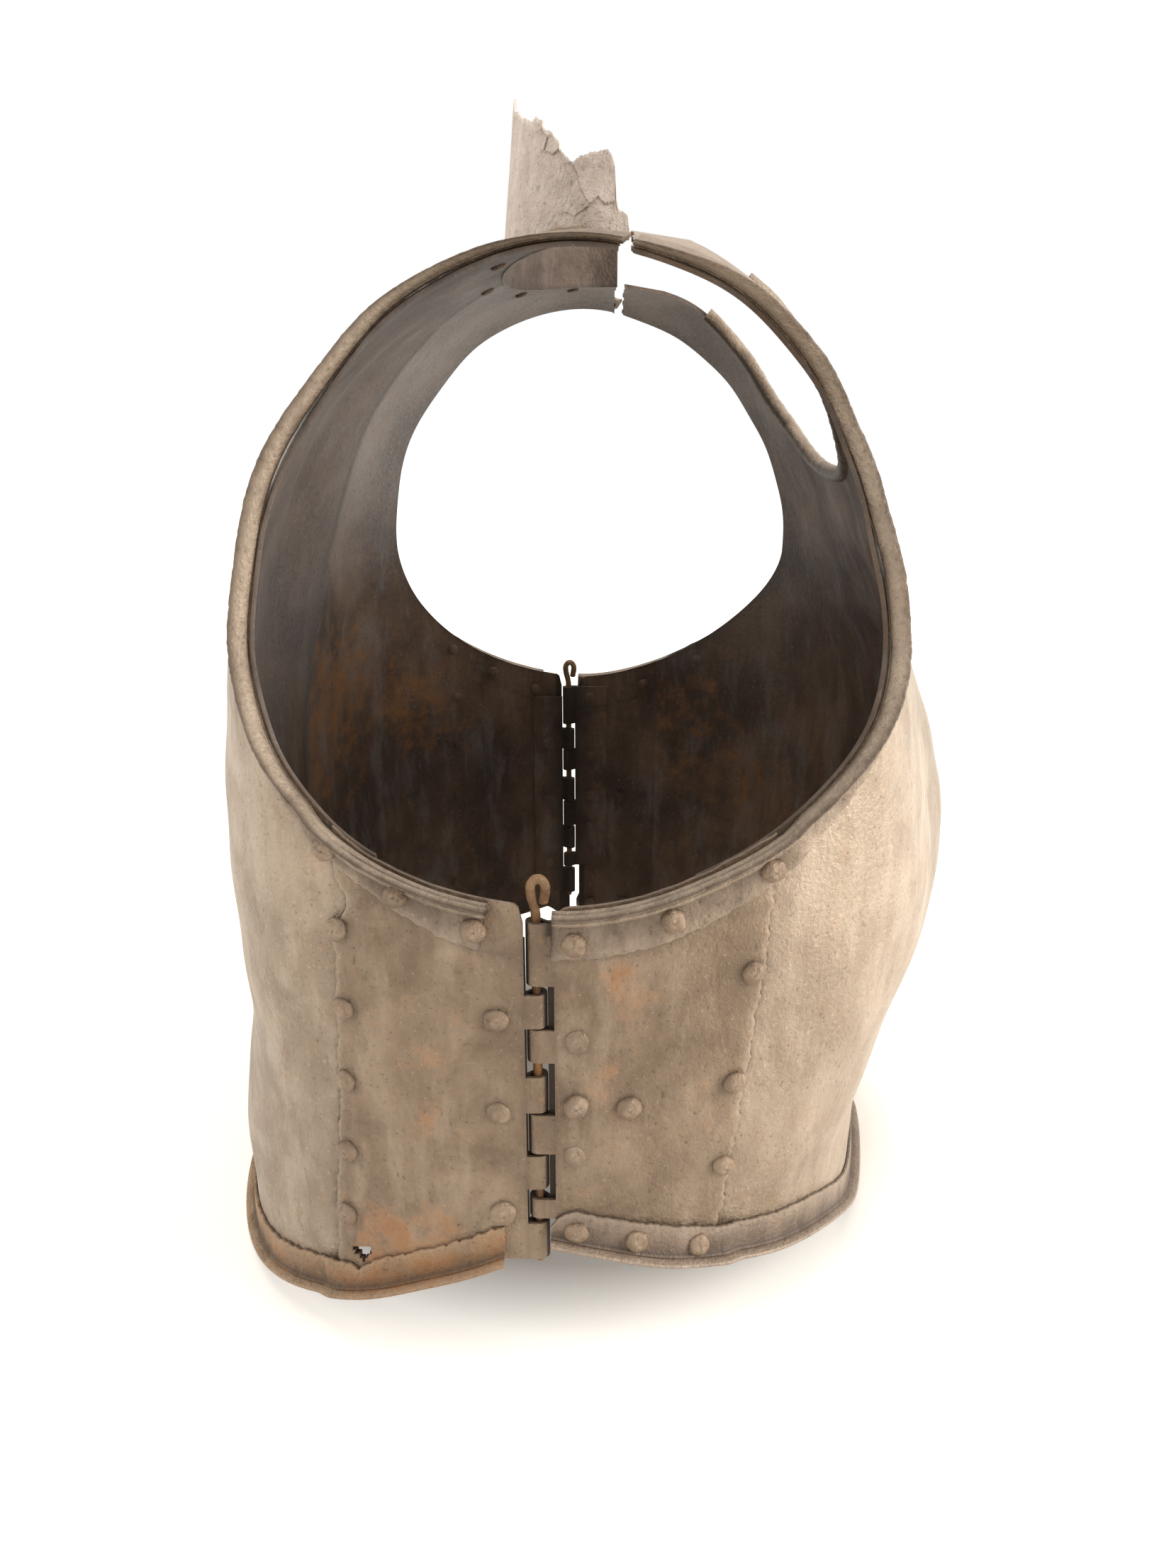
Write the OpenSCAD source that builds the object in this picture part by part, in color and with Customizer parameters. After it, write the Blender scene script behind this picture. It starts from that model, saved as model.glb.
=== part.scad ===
// Hinged iron cuirass: breast and back of beaten plate, joined at both sides by
// rolled hinge knuckles with loop headed pins that pull out upwards.
// The wearer faces -Y, their right side is at -X, and the waist lip stands on z = 0.

/* [Body form] */
// Half width of the plates at the sides, over the outer face
side_x = 168; // [160:1:176]
// Height at which the plates begin to close in towards the shoulders
chest_z = 185; // [178:1:190]
// Height at which the shoulder curve would close
top_z = 392; // [386:1:398]
// Sharpness of the shoulder curve seen from the front
side_round = 6; // [5:0.25:7]
// Depth of the breast in front of the hinge plane at the belly, without its keel
belly_d = 152; // [146:1:158]
// Height of the fullest point of the belly
belly_z = 145; // [138:1:150]
// Sharpness of the breast curve above the belly
front_round = 2.0; // [1.9:0.05:2.2]
// Depth of the breast in front of the hinge plane at the waist
waist_front_d = 134; // [128:1:138]
// Depth of the back behind the hinge plane at the shoulder blades
blade_d = 131; // [126:1:136]
// Height at which the back begins to curve in towards the nape
blade_z = 110; // [100:1:120]
// Sharpness of the back curve above the shoulder blades
back_round = 2.6; // [2.4:0.05:2.8]
// Depth of the back behind the hinge plane at the waist
waist_back_d = 139; // [134:1:144]
// Height below which the waist stays straight
waist_z = 36; // [32:1:40]
// How far the shoulders lie in front of the hinge plane
lean = 28; // [24:1:32]
// Squareness of the plan at the waist
corner_low = 2.6; // [2.4:0.05:2.8]
// Squareness of the plan at the chest
corner_high = 3.3; // [3.1:0.05:3.5]
// Height of the keel over the belly
keel_d = 27; // [20:1:30]
// Half width of the keel
keel_w = 55; // [45:1:65]
// Depth of the raised spine of the back
spine_d = 9; // [6:0.5:12]
// Half width of the raised spine
spine_w = 30; // [24:1:36]

/* [Sheet metal] */
// Thickness of the breast and back plates
plate_t = 1.5; // [1.2:0.1:1.8]
// Thickness of the side plates
side_t = 1.5; // [1.2:0.1:1.8]
// Thickness of the riveted border strips
strip_t = 1.3; // [1:0.1:1.6]
// Gap between two sheets that lie on each other
lap_gap = 0.3; // [0.25:0.05:0.4]
// Width over which the side plates lap the main plates
lap_w = 14; // [12:0.5:16]

/* [Armholes] */
// Place of the middle of an armhole, from the hinge plane
arm_y = -10.5; // [-12:0.5:-9]
// Height of the widest part of an armhole
arm_z = 262; // [258:1:266]
// Reach of an armhole behind the hinge plane, as a share of the depth of the back
arm_back_share = 0.72; // [0.7:0.005:0.73]
// Reach of an armhole in front of the hinge plane, as a share of the depth of the belly
arm_front_share = 0.775; // [0.76:0.005:0.785]
// Height of an armhole above its widest part
arm_up = 122; // [119:0.5:123]
// Depth of an armhole below its widest part
arm_down = 80; // [77:0.5:82]
// Width of the flat leg of an armhole border
border_w = 9; // [8:0.5:12]
// Extra width of that leg at its hinge end
border_end_w = 9; // [6:0.5:11]
// Height of the leg that is turned out round the arm
border_h = 7.5; // [6.5:0.5:9]
// Depth of the beads along the turned out leg
bead_d = 0.9; // [0.6:0.1:1.2]

/* [Neck] */
// Half width of the neck opening at the shoulders
neck_half = 88; // [84:1:92]
// Height of the lowest point of the neck opening in front
neck_z = 306; // [300:1:312]
// Squareness of the neck opening in front
neck_round = 2.5; // [2.3:0.05:2.7]
// Drop of the nape below the shoulders
nape_drop = 6.3; // [5:0.1:8]
// Radius of the rolled rim round the front of the neck
rim_r = 3.2; // [2.6:0.1:3.6]
// Gap between the two plates on the shoulders
shoulder_gap = 3; // [2.5:0.1:4]
// Height of what is left of the standing collar at the nape
collar_h = 60; // [50:1:64]
// Thickness of the collar
collar_t = 1.2; // [1:0.1:1.5]
// Width of the strip round the nape
nape_w = 11; // [10:0.5:12]

/* [Waist] */
// Width of the waist strip above its crease
flange_w = 12; // [10:0.5:14]
// How far the waist lip stands out from the plates
lip_out = 6; // [5:0.5:7]
// Height of the crease above the edge of the lip
lip_h = 2.5; // [2:0.25:3.5]
// Height of the lip of the back beside the hinge
lip_back_z = 51; // [49:0.5:52]
// Height of the lip of the breast beside the hinge
lip_front_z = 54; // [52:0.5:55]
// How much further the lip of the breast dips round its front
lip_dip = 20; // [18:0.5:22]

/* [Hinges] */
// Outer radius of the rolled knuckles
knuckle_r = 3.5; // [3.3:0.05:3.7]
// Radius of the hinge pins
pin_r = 1.62; // [1.5:0.02:1.7]
// Running clearance between a pin and its knuckles, on the radius
pin_fit = 0.08; // [0.06:0.01:0.1]
// Gap between the edge of a back side plate and the hinge line
back_edge = 4.1; // [4:0.1:4.6]
// Gap between the edge of a front side plate and the hinge line
front_edge = 5.8; // [5:0.1:6.4]
// Height of the lower end of the hinge pins
pin_low_z = 42; // [41:0.5:44]
// Height of the loop that heads each pin, at its middle
loop_z = 187; // [185:0.5:189]
// Radius of that loop, to the middle of its wire
loop_r = 3.4; // [3:0.1:4]

/* [Rivets] */
// Radius of the rivet heads
rivet_r = 4.2; // [3.6:0.1:4.8]
// Height of the rivet heads
rivet_h = 2.6; // [2:0.1:3]
// Radius of the rivet shanks
shank_r = 1.9; // [1.5:0.1:2.2]

/* [Hidden] */
// The hinge plane lies behind the middle, so that the origin is the centre of the outline
hinge_y = (belly_d + keel_d - waist_back_d - lap_gap - lip_out) / 2;
knuckle_x = side_x + lap_gap + side_t - knuckle_r;
bore_r = pin_r + pin_fit;
// Outer face, width and depth under the form of the leaf that the knuckles return to
leaf_x = side_x + lap_gap - 0.7;
leaf_w = 17;
leaf_low = side_x - leaf_x + side_t;
// Roundness of the armhole's upper half, and of its lower half behind and in front
arm_pow_up = 1.95;
arm_pow_back = 2;
arm_pow_front = 1.7;
spine_z = 180;
corner_z = 250;
// Seat of a strip that lies on a main plate, and on a side plate over it
seat_low = lap_gap;
seat_high = 2 * lap_gap + side_t;
plate_top = lap_gap + side_t;
strip_top = seat_high + strip_t;
// Ends of the strips beside the hinges, from the hinge plane
border_back_y = 15;
border_front_y = -5.5;
flange_back_y = 12.5;
flange_front_y = -4;
// Length over which the flat leg of an armhole border narrows, in front and behind
leg_front_run = 130;
leg_back_run = 60;
// Turn of the neck edge at which its rolled rim ends on the shoulders
rim_turn = 84;
// Least room between the nape strip and an armhole border
strip_gap = 1;
// Size of the nape rivets beside the others, and their distance from the strip's outer edge
nape_rivet_scale = 0.6;
nape_rivet_in = 2.8;
// Drop of the lips away from the hinges, and how the tongue of the front strip narrows
lip_back_slope = 0.5;
lip_back_bend = 0.0008;
lip_front_slope = 0.25;
tongue_drop = 4;
tongue_run = 9;
neck_top_z = chest_z + (top_z - chest_z) * pow(1 - pow(neck_half / side_x, side_round), 1 / side_round);
// Lower and upper ends of the knuckles along the hinge line, in pairs
front_knuckles = [[62, 69.7], [88.6, 104], [124.6, 137], [153.5, 176]];
back_knuckles = [[44.6, 59.6], [74, 87.4], [105, 118.8], [137.6, 150]];
// Rivets as distance from the hinge plane and height
back_seam_rivets_at = [[66, 171], [66, 141], [67.5, 111], [69, 81], [70.5, 54]];
front_seam_rivets_at = [[-72, 156], [-67, 114], [-64.5, 79]];
back_hinge_rivets_at = [[13.5, 141], [13.5, 105], [12.8, 64]];
front_hinge_rivets_at = [[-13.5, 133], [-13, 108], [-31, 107], [-12.4, 88]];
front_waist_rivets_at = [[-13, 57.5], [-34, 53], [-56, 47.5]];
// Armhole rivets as distance from the hinge plane and drop below the edge of the hole
back_arm_rivets_in = [[20, 11], [45, 8.6], [67.5, 8.9]];
front_arm_rivets_in = [[-12.5, 12.5], [-44.5, 10.9], [-76, 11.1]];
// Columns and rows of the main plates
half_cols = 13;
split_col = 8;
low_rows = 7;
chest_rows = 6;
strap_rows = 9;
back_rows = 13;

function clip(t) = min(max(t, 0), 1);
function ease(t) = (1 - cos(180 * clip(t))) / 2;
function mix(p, q, t) = p + (q - p) * t;
function dome(t, p) = pow(1 - pow(min(max(t, 0), 0.9999), p), 1 / p);
function power(v, p) = sign(v) * pow(abs(v), p);

// The body form: each height is a squared oval with its own width, depths and middle
function half_w(z) = side_x * dome((z - chest_z) / (top_z - chest_z), side_round);
function front_d(z) = z > belly_z
    ? belly_d * dome((z - belly_z) / (top_z - belly_z), front_round)
    : mix(waist_front_d, belly_d, ease((z - waist_z) / (belly_z - waist_z)));
function back_d(z) = z > blade_z
    ? blade_d * dome((z - blade_z) / (top_z - blade_z), back_round)
    : mix(waist_back_d, blade_d, ease((z - waist_z) / (blade_z - waist_z)));
function mid_y(z) = -lean * pow(clip((z - belly_z) / (top_z - belly_z)), 4);
function corner(z) = mix(corner_low, corner_high, ease((z - waist_z) / (corner_z - waist_z)));
function keel(x, z) = keel_d * exp(-pow(abs(x) / keel_w, 1.5))
    * (z > belly_z ? 1 - ease((z - belly_z) / 160) : mix(0.35, 1, ease((z - waist_z) / (belly_z - waist_z))));
function spine(x, z) = spine_d * exp(-pow(x / spine_w, 2)) * ease((z - spine_z) / 60)
    * (1 - ease((z - 330) / 50));

// A point of the outer face: a is 0 at the breast bone, 90 on the left side, 180 at the spine
function skin(a, z) =
    let(n = corner(z), s = sin(a), c = cos(a), r = pow(pow(abs(s), n) + pow(abs(c), n), -1 / n),
        x = half_w(z) * s * r, d = c > 0 ? front_d(z) : back_d(z))
    [x, mid_y(z) - d * c * r - (c > 0 ? keel(x, z) : -spine(x, z)), z];
function along_a(a, z) = (skin(a + 0.2, z) - skin(a - 0.2, z)) / 0.4;
function along_z(a, z) = (skin(a, z + 0.2) - skin(a, z - 0.2)) / 0.4;
function outward(a, z) = let(n = cross(along_a(a, z), along_z(a, z))) n / norm(n);
function proud(p, h) = skin(p[0], p[1]) + h * outward(p[0], p[1]);

// The place on the form that lies y from the hinge plane at height z, on the left side
function place(y, z) =
    let(q = (mid_y(z) - y) / (y < mid_y(z) ? front_d(z) : back_d(z)), n = corner(z),
        p = pow(1 - pow(min(abs(q), 0.9999), n), 1 / n))
    [atan2(p, q), z];

// The same place moved w along the form, square to the line that runs from p to q
function moved(p, t, w) =
    let(n = outward(p[0], p[1]), b = cross(t, n), u = along_a(p[0], p[1]), v = along_z(p[0], p[1]),
        e = u * u, f = u * v, g = v * v, k = e * g - f * f, i = b * u, j = b * v)
    [p[0] + w * (g * i - f * j) / k, p[1] + w * (e * j - f * i) / k];

// The armhole: t runs from -90 at its lowest point to 90 at its top, s is 1 behind and -1 in front
function arm_half(s) = s > 0 ? arm_back_share * blade_d - arm_y : arm_front_share * belly_d + arm_y;
function arm_pow(t, s) = t > 0 ? arm_pow_up : s > 0 ? arm_pow_back : arm_pow_front;
function arm_edge_y(t, s) = arm_y + s * arm_half(s) * power(cos(t), 2 / arm_pow(t, s));
function arm_edge_z(t, s) = arm_z + (t > 0 ? arm_up : arm_down) * power(sin(t), 2 / arm_pow(t, s));
function arm_place(t, s) = place(arm_edge_y(t, s), arm_edge_z(t, s));
// Height of the lower edge of the armhole, y from the hinge plane
function arm_low_z(y) = let(s = sign(y - arm_y), p = arm_pow(-1, s))
    arm_z - arm_down * pow(1 - pow(abs(y - arm_y) / arm_half(s), p), 1 / p);
// The turn of the armhole at which its upper half lies y from the hinge plane
function arm_turn_up(y, s) = acos(pow(s * (y - arm_y) / arm_half(s), arm_pow_up / 2));
function arm_turn_down(y, s) = -acos(pow(s * (y - arm_y) / arm_half(s), arm_pow(-1, s) / 2));

// The seams: outer edge of a side plate, and edge of the main plate that runs on under it
function back_seam_y(z) = 66 + 9 * clip((175 - z) / 120) + 0.5 * sin(z * 41);
function front_seam_y(z) = -mix(63, 77, clip((z - 45) / 120)) - 0.6 * sin(z * 37);
back_under_y = 66 - lap_w;
front_under_y = lap_w - 66;

// Lower edges
function lip_z_back(y) = max(0, lip_back_z - lip_back_slope * y + lip_back_bend * y * y);
function lip_z_front(y, x) = max(0, lip_front_z + lip_front_slope * y - lip_dip * ease((140 - abs(x)) / 80));
function skirt_back(a) = let(p = skin(a, waist_z)) lip_z_back(p[1]);
function skirt_front(a) = let(p = skin(a, waist_z)) lip_z_front(p[1], p[0]);

// The neck: t runs from 0 at its lowest point to 90 on the shoulder
function neck_front(t) =
    let(z = neck_top_z - (neck_top_z - neck_z) * pow(cos(t), 2 / neck_round),
        p = min(neck_half * pow(sin(t), 2 / neck_round) / half_w(z), 1), n = corner(z))
    [atan2(p, pow(1 - pow(p, n), 1 / n)), z];
function neck_back(t) =
    let(x = neck_half * sin(t), z = neck_top_z - nape_drop * (1 - pow(sin(t), 2)),
        p = min(x / half_w(z), 1), n = corner(z))
    [180 - atan2(p, pow(1 - pow(p, n), 1 / n)), z];
function front_stop(p) = [min(p[0], place(-lean - shoulder_gap / 2, p[1])[0]), p[1]];
function back_stop(p) = [max(p[0], place(-lean + shoulder_gap / 2, p[1])[0]), p[1]];

// Places on the breast plate. The lower band reaches the armhole, the next one the neck,
// and the straps run on to the shoulders.
arm_front_start = arm_turn_down(front_under_y, -1);
arm_front_split = asin(pow((neck_z + 4 - arm_z) / arm_up, arm_pow_up / 2));
arm_front_end = arm_turn_up(-lean, -1);
split_turn = 42;
function strap_place(s, t) =
    let(p = neck_front(mix(split_turn, 90, t)),
        q = arm_place(mix(arm_front_split, arm_front_end, t), -1))
    front_stop(mix(p, q, s));
function front_low(f, t) =
    let(z1 = arm_edge_z(arm_front_start, -1), a1 = f * place(front_under_y, z1)[0],
        z0 = skirt_front(a1) + lip_h, z = mix(z0, z1, t))
    [f * place(front_under_y, z)[0], z];
function front_chest(j, t) =
    let(f = j / half_cols, arc = mix(arm_front_start, arm_front_split, t), e = arm_place(arc, -1),
        z1 = arm_edge_z(arm_front_start, -1), z2 = arm_edge_z(arm_front_split, -1),
        top = j <= split_col ? neck_front(split_turn * j / split_col)
            : strap_place((j - split_col) / (half_cols - split_col), 0),
        last = arm_place(arm_front_split, -1), k = (e[1] - z1) / (z2 - z1))
    [e[0] * mix(f, top[0] / last[0], t), mix(z1, top[1], k)];
function front_place(j, row) =
    row <= low_rows ? front_low(j / half_cols, row / low_rows)
    : row <= low_rows + chest_rows ? front_chest(j, (row - low_rows) / chest_rows)
    : strap_place(max(j - split_col, 0) / (half_cols - split_col), (row - low_rows - chest_rows) / strap_rows);

// Places on the back plate
arm_back_start = arm_turn_down(back_under_y, 1);
arm_back_end = 180 - arm_turn_up(2 * arm_y + lean, 1);
function arm_round(t) = t <= 90 ? arm_place(t, 1) : t <= 270 ? arm_place(180 - t, -1) : arm_place(t - 360, 1);
function back_low(f, t) =
    let(z1 = arm_edge_z(arm_back_start, 1), a1 = 180 - f * (180 - place(back_under_y, z1)[0]),
        z0 = skirt_back(a1) + lip_h, z = mix(z0, z1, t))
    [180 - f * (180 - place(back_under_y, z)[0]), z];
function back_high(j, t) =
    let(f = j / half_cols, e = arm_round(mix(arm_back_start, arm_back_end, t)),
        z1 = arm_edge_z(arm_back_start, 1), s = max(j - split_col, 0) / (half_cols - split_col),
        last = arm_round(arm_back_end),
        top = j <= split_col ? neck_back(90 * j / split_col) : mix(neck_back(90), last, s),
        k = mix(sin(90 * t), t, 0.3))
    back_stop([180 - (180 - e[0]) * mix(f, (180 - top[0]) / (180 - last[0]), t),
        j == half_cols ? e[1] : mix(z1, top[1], mix(k, (e[1] - z1) / (last[1] - z1), f * f))]);
function back_place(j, row) =
    row <= low_rows ? back_low(j / half_cols, row / low_rows)
    : back_high(j, (row - low_rows) / back_rows);

// A mirrored place: columns left of the middle repeat those on the right of it
function both(j, p, mid) = j < 0 ? [2 * mid - p[0], p[1]] : p;

// A sheet between two grids of points. cells[row][col] says which cells exist.
module sheet(outer, inner, cells) {
    rows = len(outer) - 1;
    cols = len(outer[0]) - 1;
    step = cols + 1;
    half = (rows + 1) * step;
    has = function(r, c) r >= 0 && r < rows && c >= 0 && c < cols && cells[r][c];
    pts = [for (g = [outer, inner], r = g, p = r) p];
    quads = [
        for (r = [0:rows - 1], c = [0:cols - 1]) if (has(r, c))
            let(i = r * step + c, j = i + step)
            each [
                [i, i + 1, j + 1, j],
                [half + i, half + j, half + j + 1, half + i + 1],
                if (!has(r - 1, c)) [i + 1, i, half + i, half + i + 1],
                if (!has(r + 1, c)) [j, j + 1, half + j + 1, half + j],
                if (!has(r, c - 1)) [i, j, half + j, half + i],
                if (!has(r, c + 1)) [j + 1, i + 1, half + i + 1, half + j + 1]
            ]
    ];
    polyhedron(pts, [for (q = quads) each [[q[2], q[1], q[0]], [q[3], q[2], q[0]]]], convexity = 10);
}

// A closed section carried through a row of stations
module sweep(rings) {
    n = len(rings[0]);
    m = len(rings);
    sides = [
        for (r = [0:m - 2], k = [0:n - 1])
            let(i = r * n + k, j = r * n + (k + 1) % n)
            each [[i, j, i + n], [j, j + n, i + n]]
    ];
    caps = [[for (k = [n - 1:-1:0]) k], [for (k = [0:n - 1]) (m - 1) * n + k]];
    polyhedron([for (r = rings, p = r) p], concat(sides, caps), convexity = 10);
}

// Children are modelled on the wearer's left, with the hinge plane at y = 0
module mirrored(side) {
    translate([0, hinge_y, 0]) {
        if (side < 0) mirror([1, 0, 0]) children();
        else children();
    }
}

module main_sheet(grid, cells) {
    translate([0, hinge_y, 0])
        sheet([for (r = grid) [for (p = r) skin(p[0], p[1])]],
            [for (r = grid) [for (p = r) proud(p, -plate_t)]], cells);
}

module front_plate() {
    grid = [for (r = [0:low_rows + chest_rows + strap_rows])
        [for (j = [-half_cols:half_cols]) both(j, front_place(abs(j), r), 0)]];
    cells = [for (r = [0:len(grid) - 2])
        [for (j = [-half_cols:half_cols - 1])
            r < low_rows + chest_rows || min(abs(j), abs(j + 1)) >= split_col]];
    color([0.42, 0.34, 0.28]) main_sheet(grid, cells);
}

module back_plate() {
    grid = [for (r = [0:low_rows + back_rows])
        [for (j = [half_cols:-1:-half_cols]) both(j, back_place(abs(j), r), 180)]];
    cells = [for (r = [0:len(grid) - 2]) [for (j = [1:2 * half_cols]) true]];
    color([0.42, 0.34, 0.28]) main_sheet(grid, cells);
}

// One rolled knuckle with the tab that joins it to the edge of its plate at y
module knuckle(y, z0, z1) {
    s = sign(y);
    tab_x = side_x + lap_gap - 0.05;
    difference() {
        union() {
            translate([knuckle_x, 0, z0]) cylinder(r = knuckle_r, h = z1 - z0, $fn = 48);
            translate([tab_x, min(0, y + 2 * s), z0]) cube([side_t, abs(y) + 2, z1 - z0]);
            // The end of the roll runs back to the leaf inside
            translate([0, 0, z0])
                linear_extrude(z1 - z0)
                    polygon([[knuckle_x - knuckle_r + 0.1, 0], [knuckle_x - knuckle_r + side_t, 0],
                        [leaf_x, s * (abs(y) + 2)], [leaf_x - side_t, s * (abs(y) + 2)]]);
        }
        translate([knuckle_x, 0, z0 - 1]) cylinder(r = bore_r, h = z1 - z0 + 2, $fn = 48);
    }
}

module side_plate(y_edge, knuckles, seam, low, rows, cols) {
    s = sign(y_edge);
    z_low = knuckles[0][0];
    z_high = knuckles[len(knuckles) - 1][1];
    place_at = function(f, t)
        let(y = mix(y_edge, seam(mix(50, 190, t)), f), z = mix(low(y), arm_low_z(y), t))
        place(mix(y_edge, seam(z), f), z);
    line = [for (c = [0:cols]) s > 0 ? c / cols : 1 - c / cols];
    grid = [for (r = [0:rows]) [for (f = line) place_at(f, r / rows)]];
    cells = [for (r = [1:rows]) [for (c = [1:cols]) true]];
    color([0.47, 0.38, 0.31]) {
        sheet([for (r = grid) [for (p = r) proud(p, lap_gap + side_t)]],
            [for (r = grid) [for (p = r) proud(p, lap_gap)]], cells);
        for (k = knuckles) knuckle(y_edge, k[0], k[1]);
        translate([leaf_x - side_t, min(y_edge, y_edge + s * leaf_w), z_low])
            cube([side_t, leaf_w, z_high - z_low]);
    }
}

module front_side_plate(side) {
    mirrored(side)
        side_plate(-front_edge, front_knuckles, function(z) front_seam_y(z),
            function(y) lip_z_front(y, side_x) + lip_h, 10, 7);
}

module back_side_plate(side) {
    mirrored(side)
        side_plate(back_edge, back_knuckles, function(z) back_seam_y(z),
            function(y) min(back_knuckles[0][0], lip_z_back(y) + lip_h), 10, 7);
}

// Seat of a strip at y from the hinge plane: high on a side plate, low beyond its seam
function seat(y, seam) = mix(seat_high, seat_low, ease((abs(y) - abs(seam) - 1) / 8));

// The direction of a line of places at p, from the places just before and after it
function heading(p, q) = let(u = skin(q[0], q[1]) - skin(p[0], p[1])) u / norm(u);

// Section of an armhole border: width in from the edge of the hole, height over the form
function border_section(w, s) = let(h = border_h, b = bead_d) [
    [w, s], [w, s + strip_t], [3.6, s + strip_t], [2.2 + b, s + 0.36 * h], [2, s + 0.5 * h],
    [2 + b, s + 0.66 * h], [1.7, s + 0.82 * h], [2, s + h], [0.6, s + h],
    [0.2, s + 0.82 * h], [0.3 + b, s + 0.66 * h], [0.3, s + 0.5 * h], [0.3 + b, s + 0.36 * h], [0.5, s]
];

// The leg is turned out sideways, level with the floor
function border_ring(t, w, s) =
    let(p = arm_round(t), u = heading(arm_round(t - 0.5), arm_round(t + 0.5)), v = level_out(p[0], p[1]))
    [for (q = border_section(w, s)) let(h = min(q[1], s + strip_t))
        proud(moved(p, u, q[0]), h) + (q[1] - h) * v];

function strip_w(y) = border_w + border_end_w * (1 - ease((abs(y) - 8) / (y < 0 ? leg_front_run : leg_back_run)));

module armhole_border(t0, t1, stations, side) {
    rings = [for (k = [0:stations])
        let(t = mix(t0, t1, k / stations), p = arm_round(t), y = skin(p[0], p[1])[1], low = p[1] < arm_z,
            seam = y > 0 ? back_seam_y(p[1]) : front_seam_y(p[1]))
        border_ring(t, low ? strip_w(y) : border_w, low ? seat(y, seam) : seat_low)];
    color([0.38, 0.33, 0.29]) mirrored(side) sweep(rings);
}

module back_armhole_border(side) {
    armhole_border(arm_turn_down(border_back_y, 1), arm_back_end - 1, 24, side);
}

module front_armhole_border(side) {
    armhole_border(180 - arm_front_end + 1, 360 + arm_turn_down(border_front_y, 1), 22, side);
}

// The rim is a tube that the neck edge of the breast is rolled into
module front_neck_rim() {
    stations = 36;
    edge = function(t) let(p = neck_front(abs(t))) [sign(t) * p[0], p[1]];
    rings = [for (k = [0:stations])
        let(t = mix(-rim_turn, rim_turn, k / stations), p = edge(t), n = outward(p[0], p[1]),
            b = cross(heading(edge(t - 1), edge(t + 1)), n))
        [for (q = [0:45:315])
            skin(p[0], p[1]) + (rim_r * cos(q) - rim_r - 0.1) * b + (rim_r * sin(q) - plate_t / 2) * n]];
    color([0.40, 0.35, 0.31]) translate([0, hinge_y, 0]) sweep(rings);
}

// Section of the strip at the foot of the collar
function neck_section() = let(s = seat_low, t = strip_t) [
    [nape_w, s], [nape_w, s + t], [6, s + t], [5, s + t + 1.3], [4, s + t], [2.6, s + t + 0.3],
    [1.8, s + t + 1.8], [0.6, s + t + 0.8], [0.6, s]
];

function nape_edge(t) = let(p = neck_back(abs(t))) [t < 0 ? 360 - p[0] : p[0], p[1]];

// Width of the strap between the nape edge at turn t and the armhole, and the turn at which the
// nape strip ends so that it stays clear of the armhole border
function strap_room(t) = let(e = nape_edge(t), p = skin(e[0], e[1]))
    min([for (k = [50:3:arm_back_end]) let(q = arm_round(k)) norm(skin(q[0], q[1]) - p)]);
nape_turn = max([for (t = [40:80]) if (t == 40 || strap_room(t) > nape_w + border_w + strip_gap) t]);

module back_neck_border() {
    stations = 30;
    rings = [for (k = [0:stations])
        let(t = mix(-nape_turn, nape_turn, k / stations), p = nape_edge(t),
            u = heading(nape_edge(t + 1), nape_edge(t - 1)))
        [for (q = neck_section()) proud(moved(p, u, q[0]), q[1])]];
    color([0.45, 0.38, 0.32]) translate([0, hinge_y, 0]) sweep(rings);
}

// What is left of the collar's height, as turns round the neck and shares of the full height:
// from the wearer's right shoulder past the nape to their left one
collar_torn = [[-95, 0.43], [-84, 0.42], [-78, 0.41], [-73, 0.38], [-67, 0.49], [-57, 0.65], [-50, 0.67],
    [-39, 0.76], [-32, 0.82], [-24, 0.94], [-6, 1], [10, 0.93], [22, 0.84], [30, 0.66], [41, 0.6],
    [50, 0.36], [60, 0.3], [90, 0.28]];

// The collar stands just inside the neck edge and leans in. Its top is broken off.
module back_collar() {
    stations = 40;
    rows = 4;
    foot = 5;
    inset = 0.6;
    at = function(t, f, d)
        let(e = nape_edge(min(max(t, -90), 90)), p = skin(e[0], e[1]),
            z = mix(-foot, collar_h * lookup(t, collar_torn), f),
            v = [p[0], p[1] + lean, 0], u = v / norm(v), ahead = 1.4 * max(abs(t) - 90, 0))
        p - (inset + d + 0.1 * max(z, 0)) * u + [0, -ahead, z];
    line = [for (c = [0:stations]) mix(collar_torn[0][0], collar_torn[len(collar_torn) - 1][0], c / stations)];
    cells = [for (r = [1:rows]) [for (c = [1:stations]) true]];
    color([0.62, 0.55, 0.50]) translate([0, hinge_y, 0])
        sheet([for (r = [0:rows]) [for (t = line) at(t, r / rows, 0)]],
            [for (r = [0:rows]) [for (t = line) at(t, r / rows, collar_t)]], cells);
}

// A waist strip of width w: flat on the plates above its crease, turned out to a lip below it
function level_out(a, z) = let(n = outward(a, z)) [n[0], n[1], 0] / norm([n[0], n[1]]);
function flange_section(s, w) = let(t = strip_t, c = lip_h, o = s + lip_out) [
    [s, c + w], [s, c + 1.2], [s + 1.4, c - 1.2], [o - 2.2, 0], [o, 0],
    [o, t + 0.2], [o - 1.8, t + 0.6], [s + t + 1.2, c + 0.2], [s + t, c + 1.2], [s + t, c + w]
];
function flange_ring(a, z, s, w) =
    [for (q = flange_section(s, w)) skin(a, z + q[1]) + q[0] * level_out(a, z + q[1])];

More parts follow.
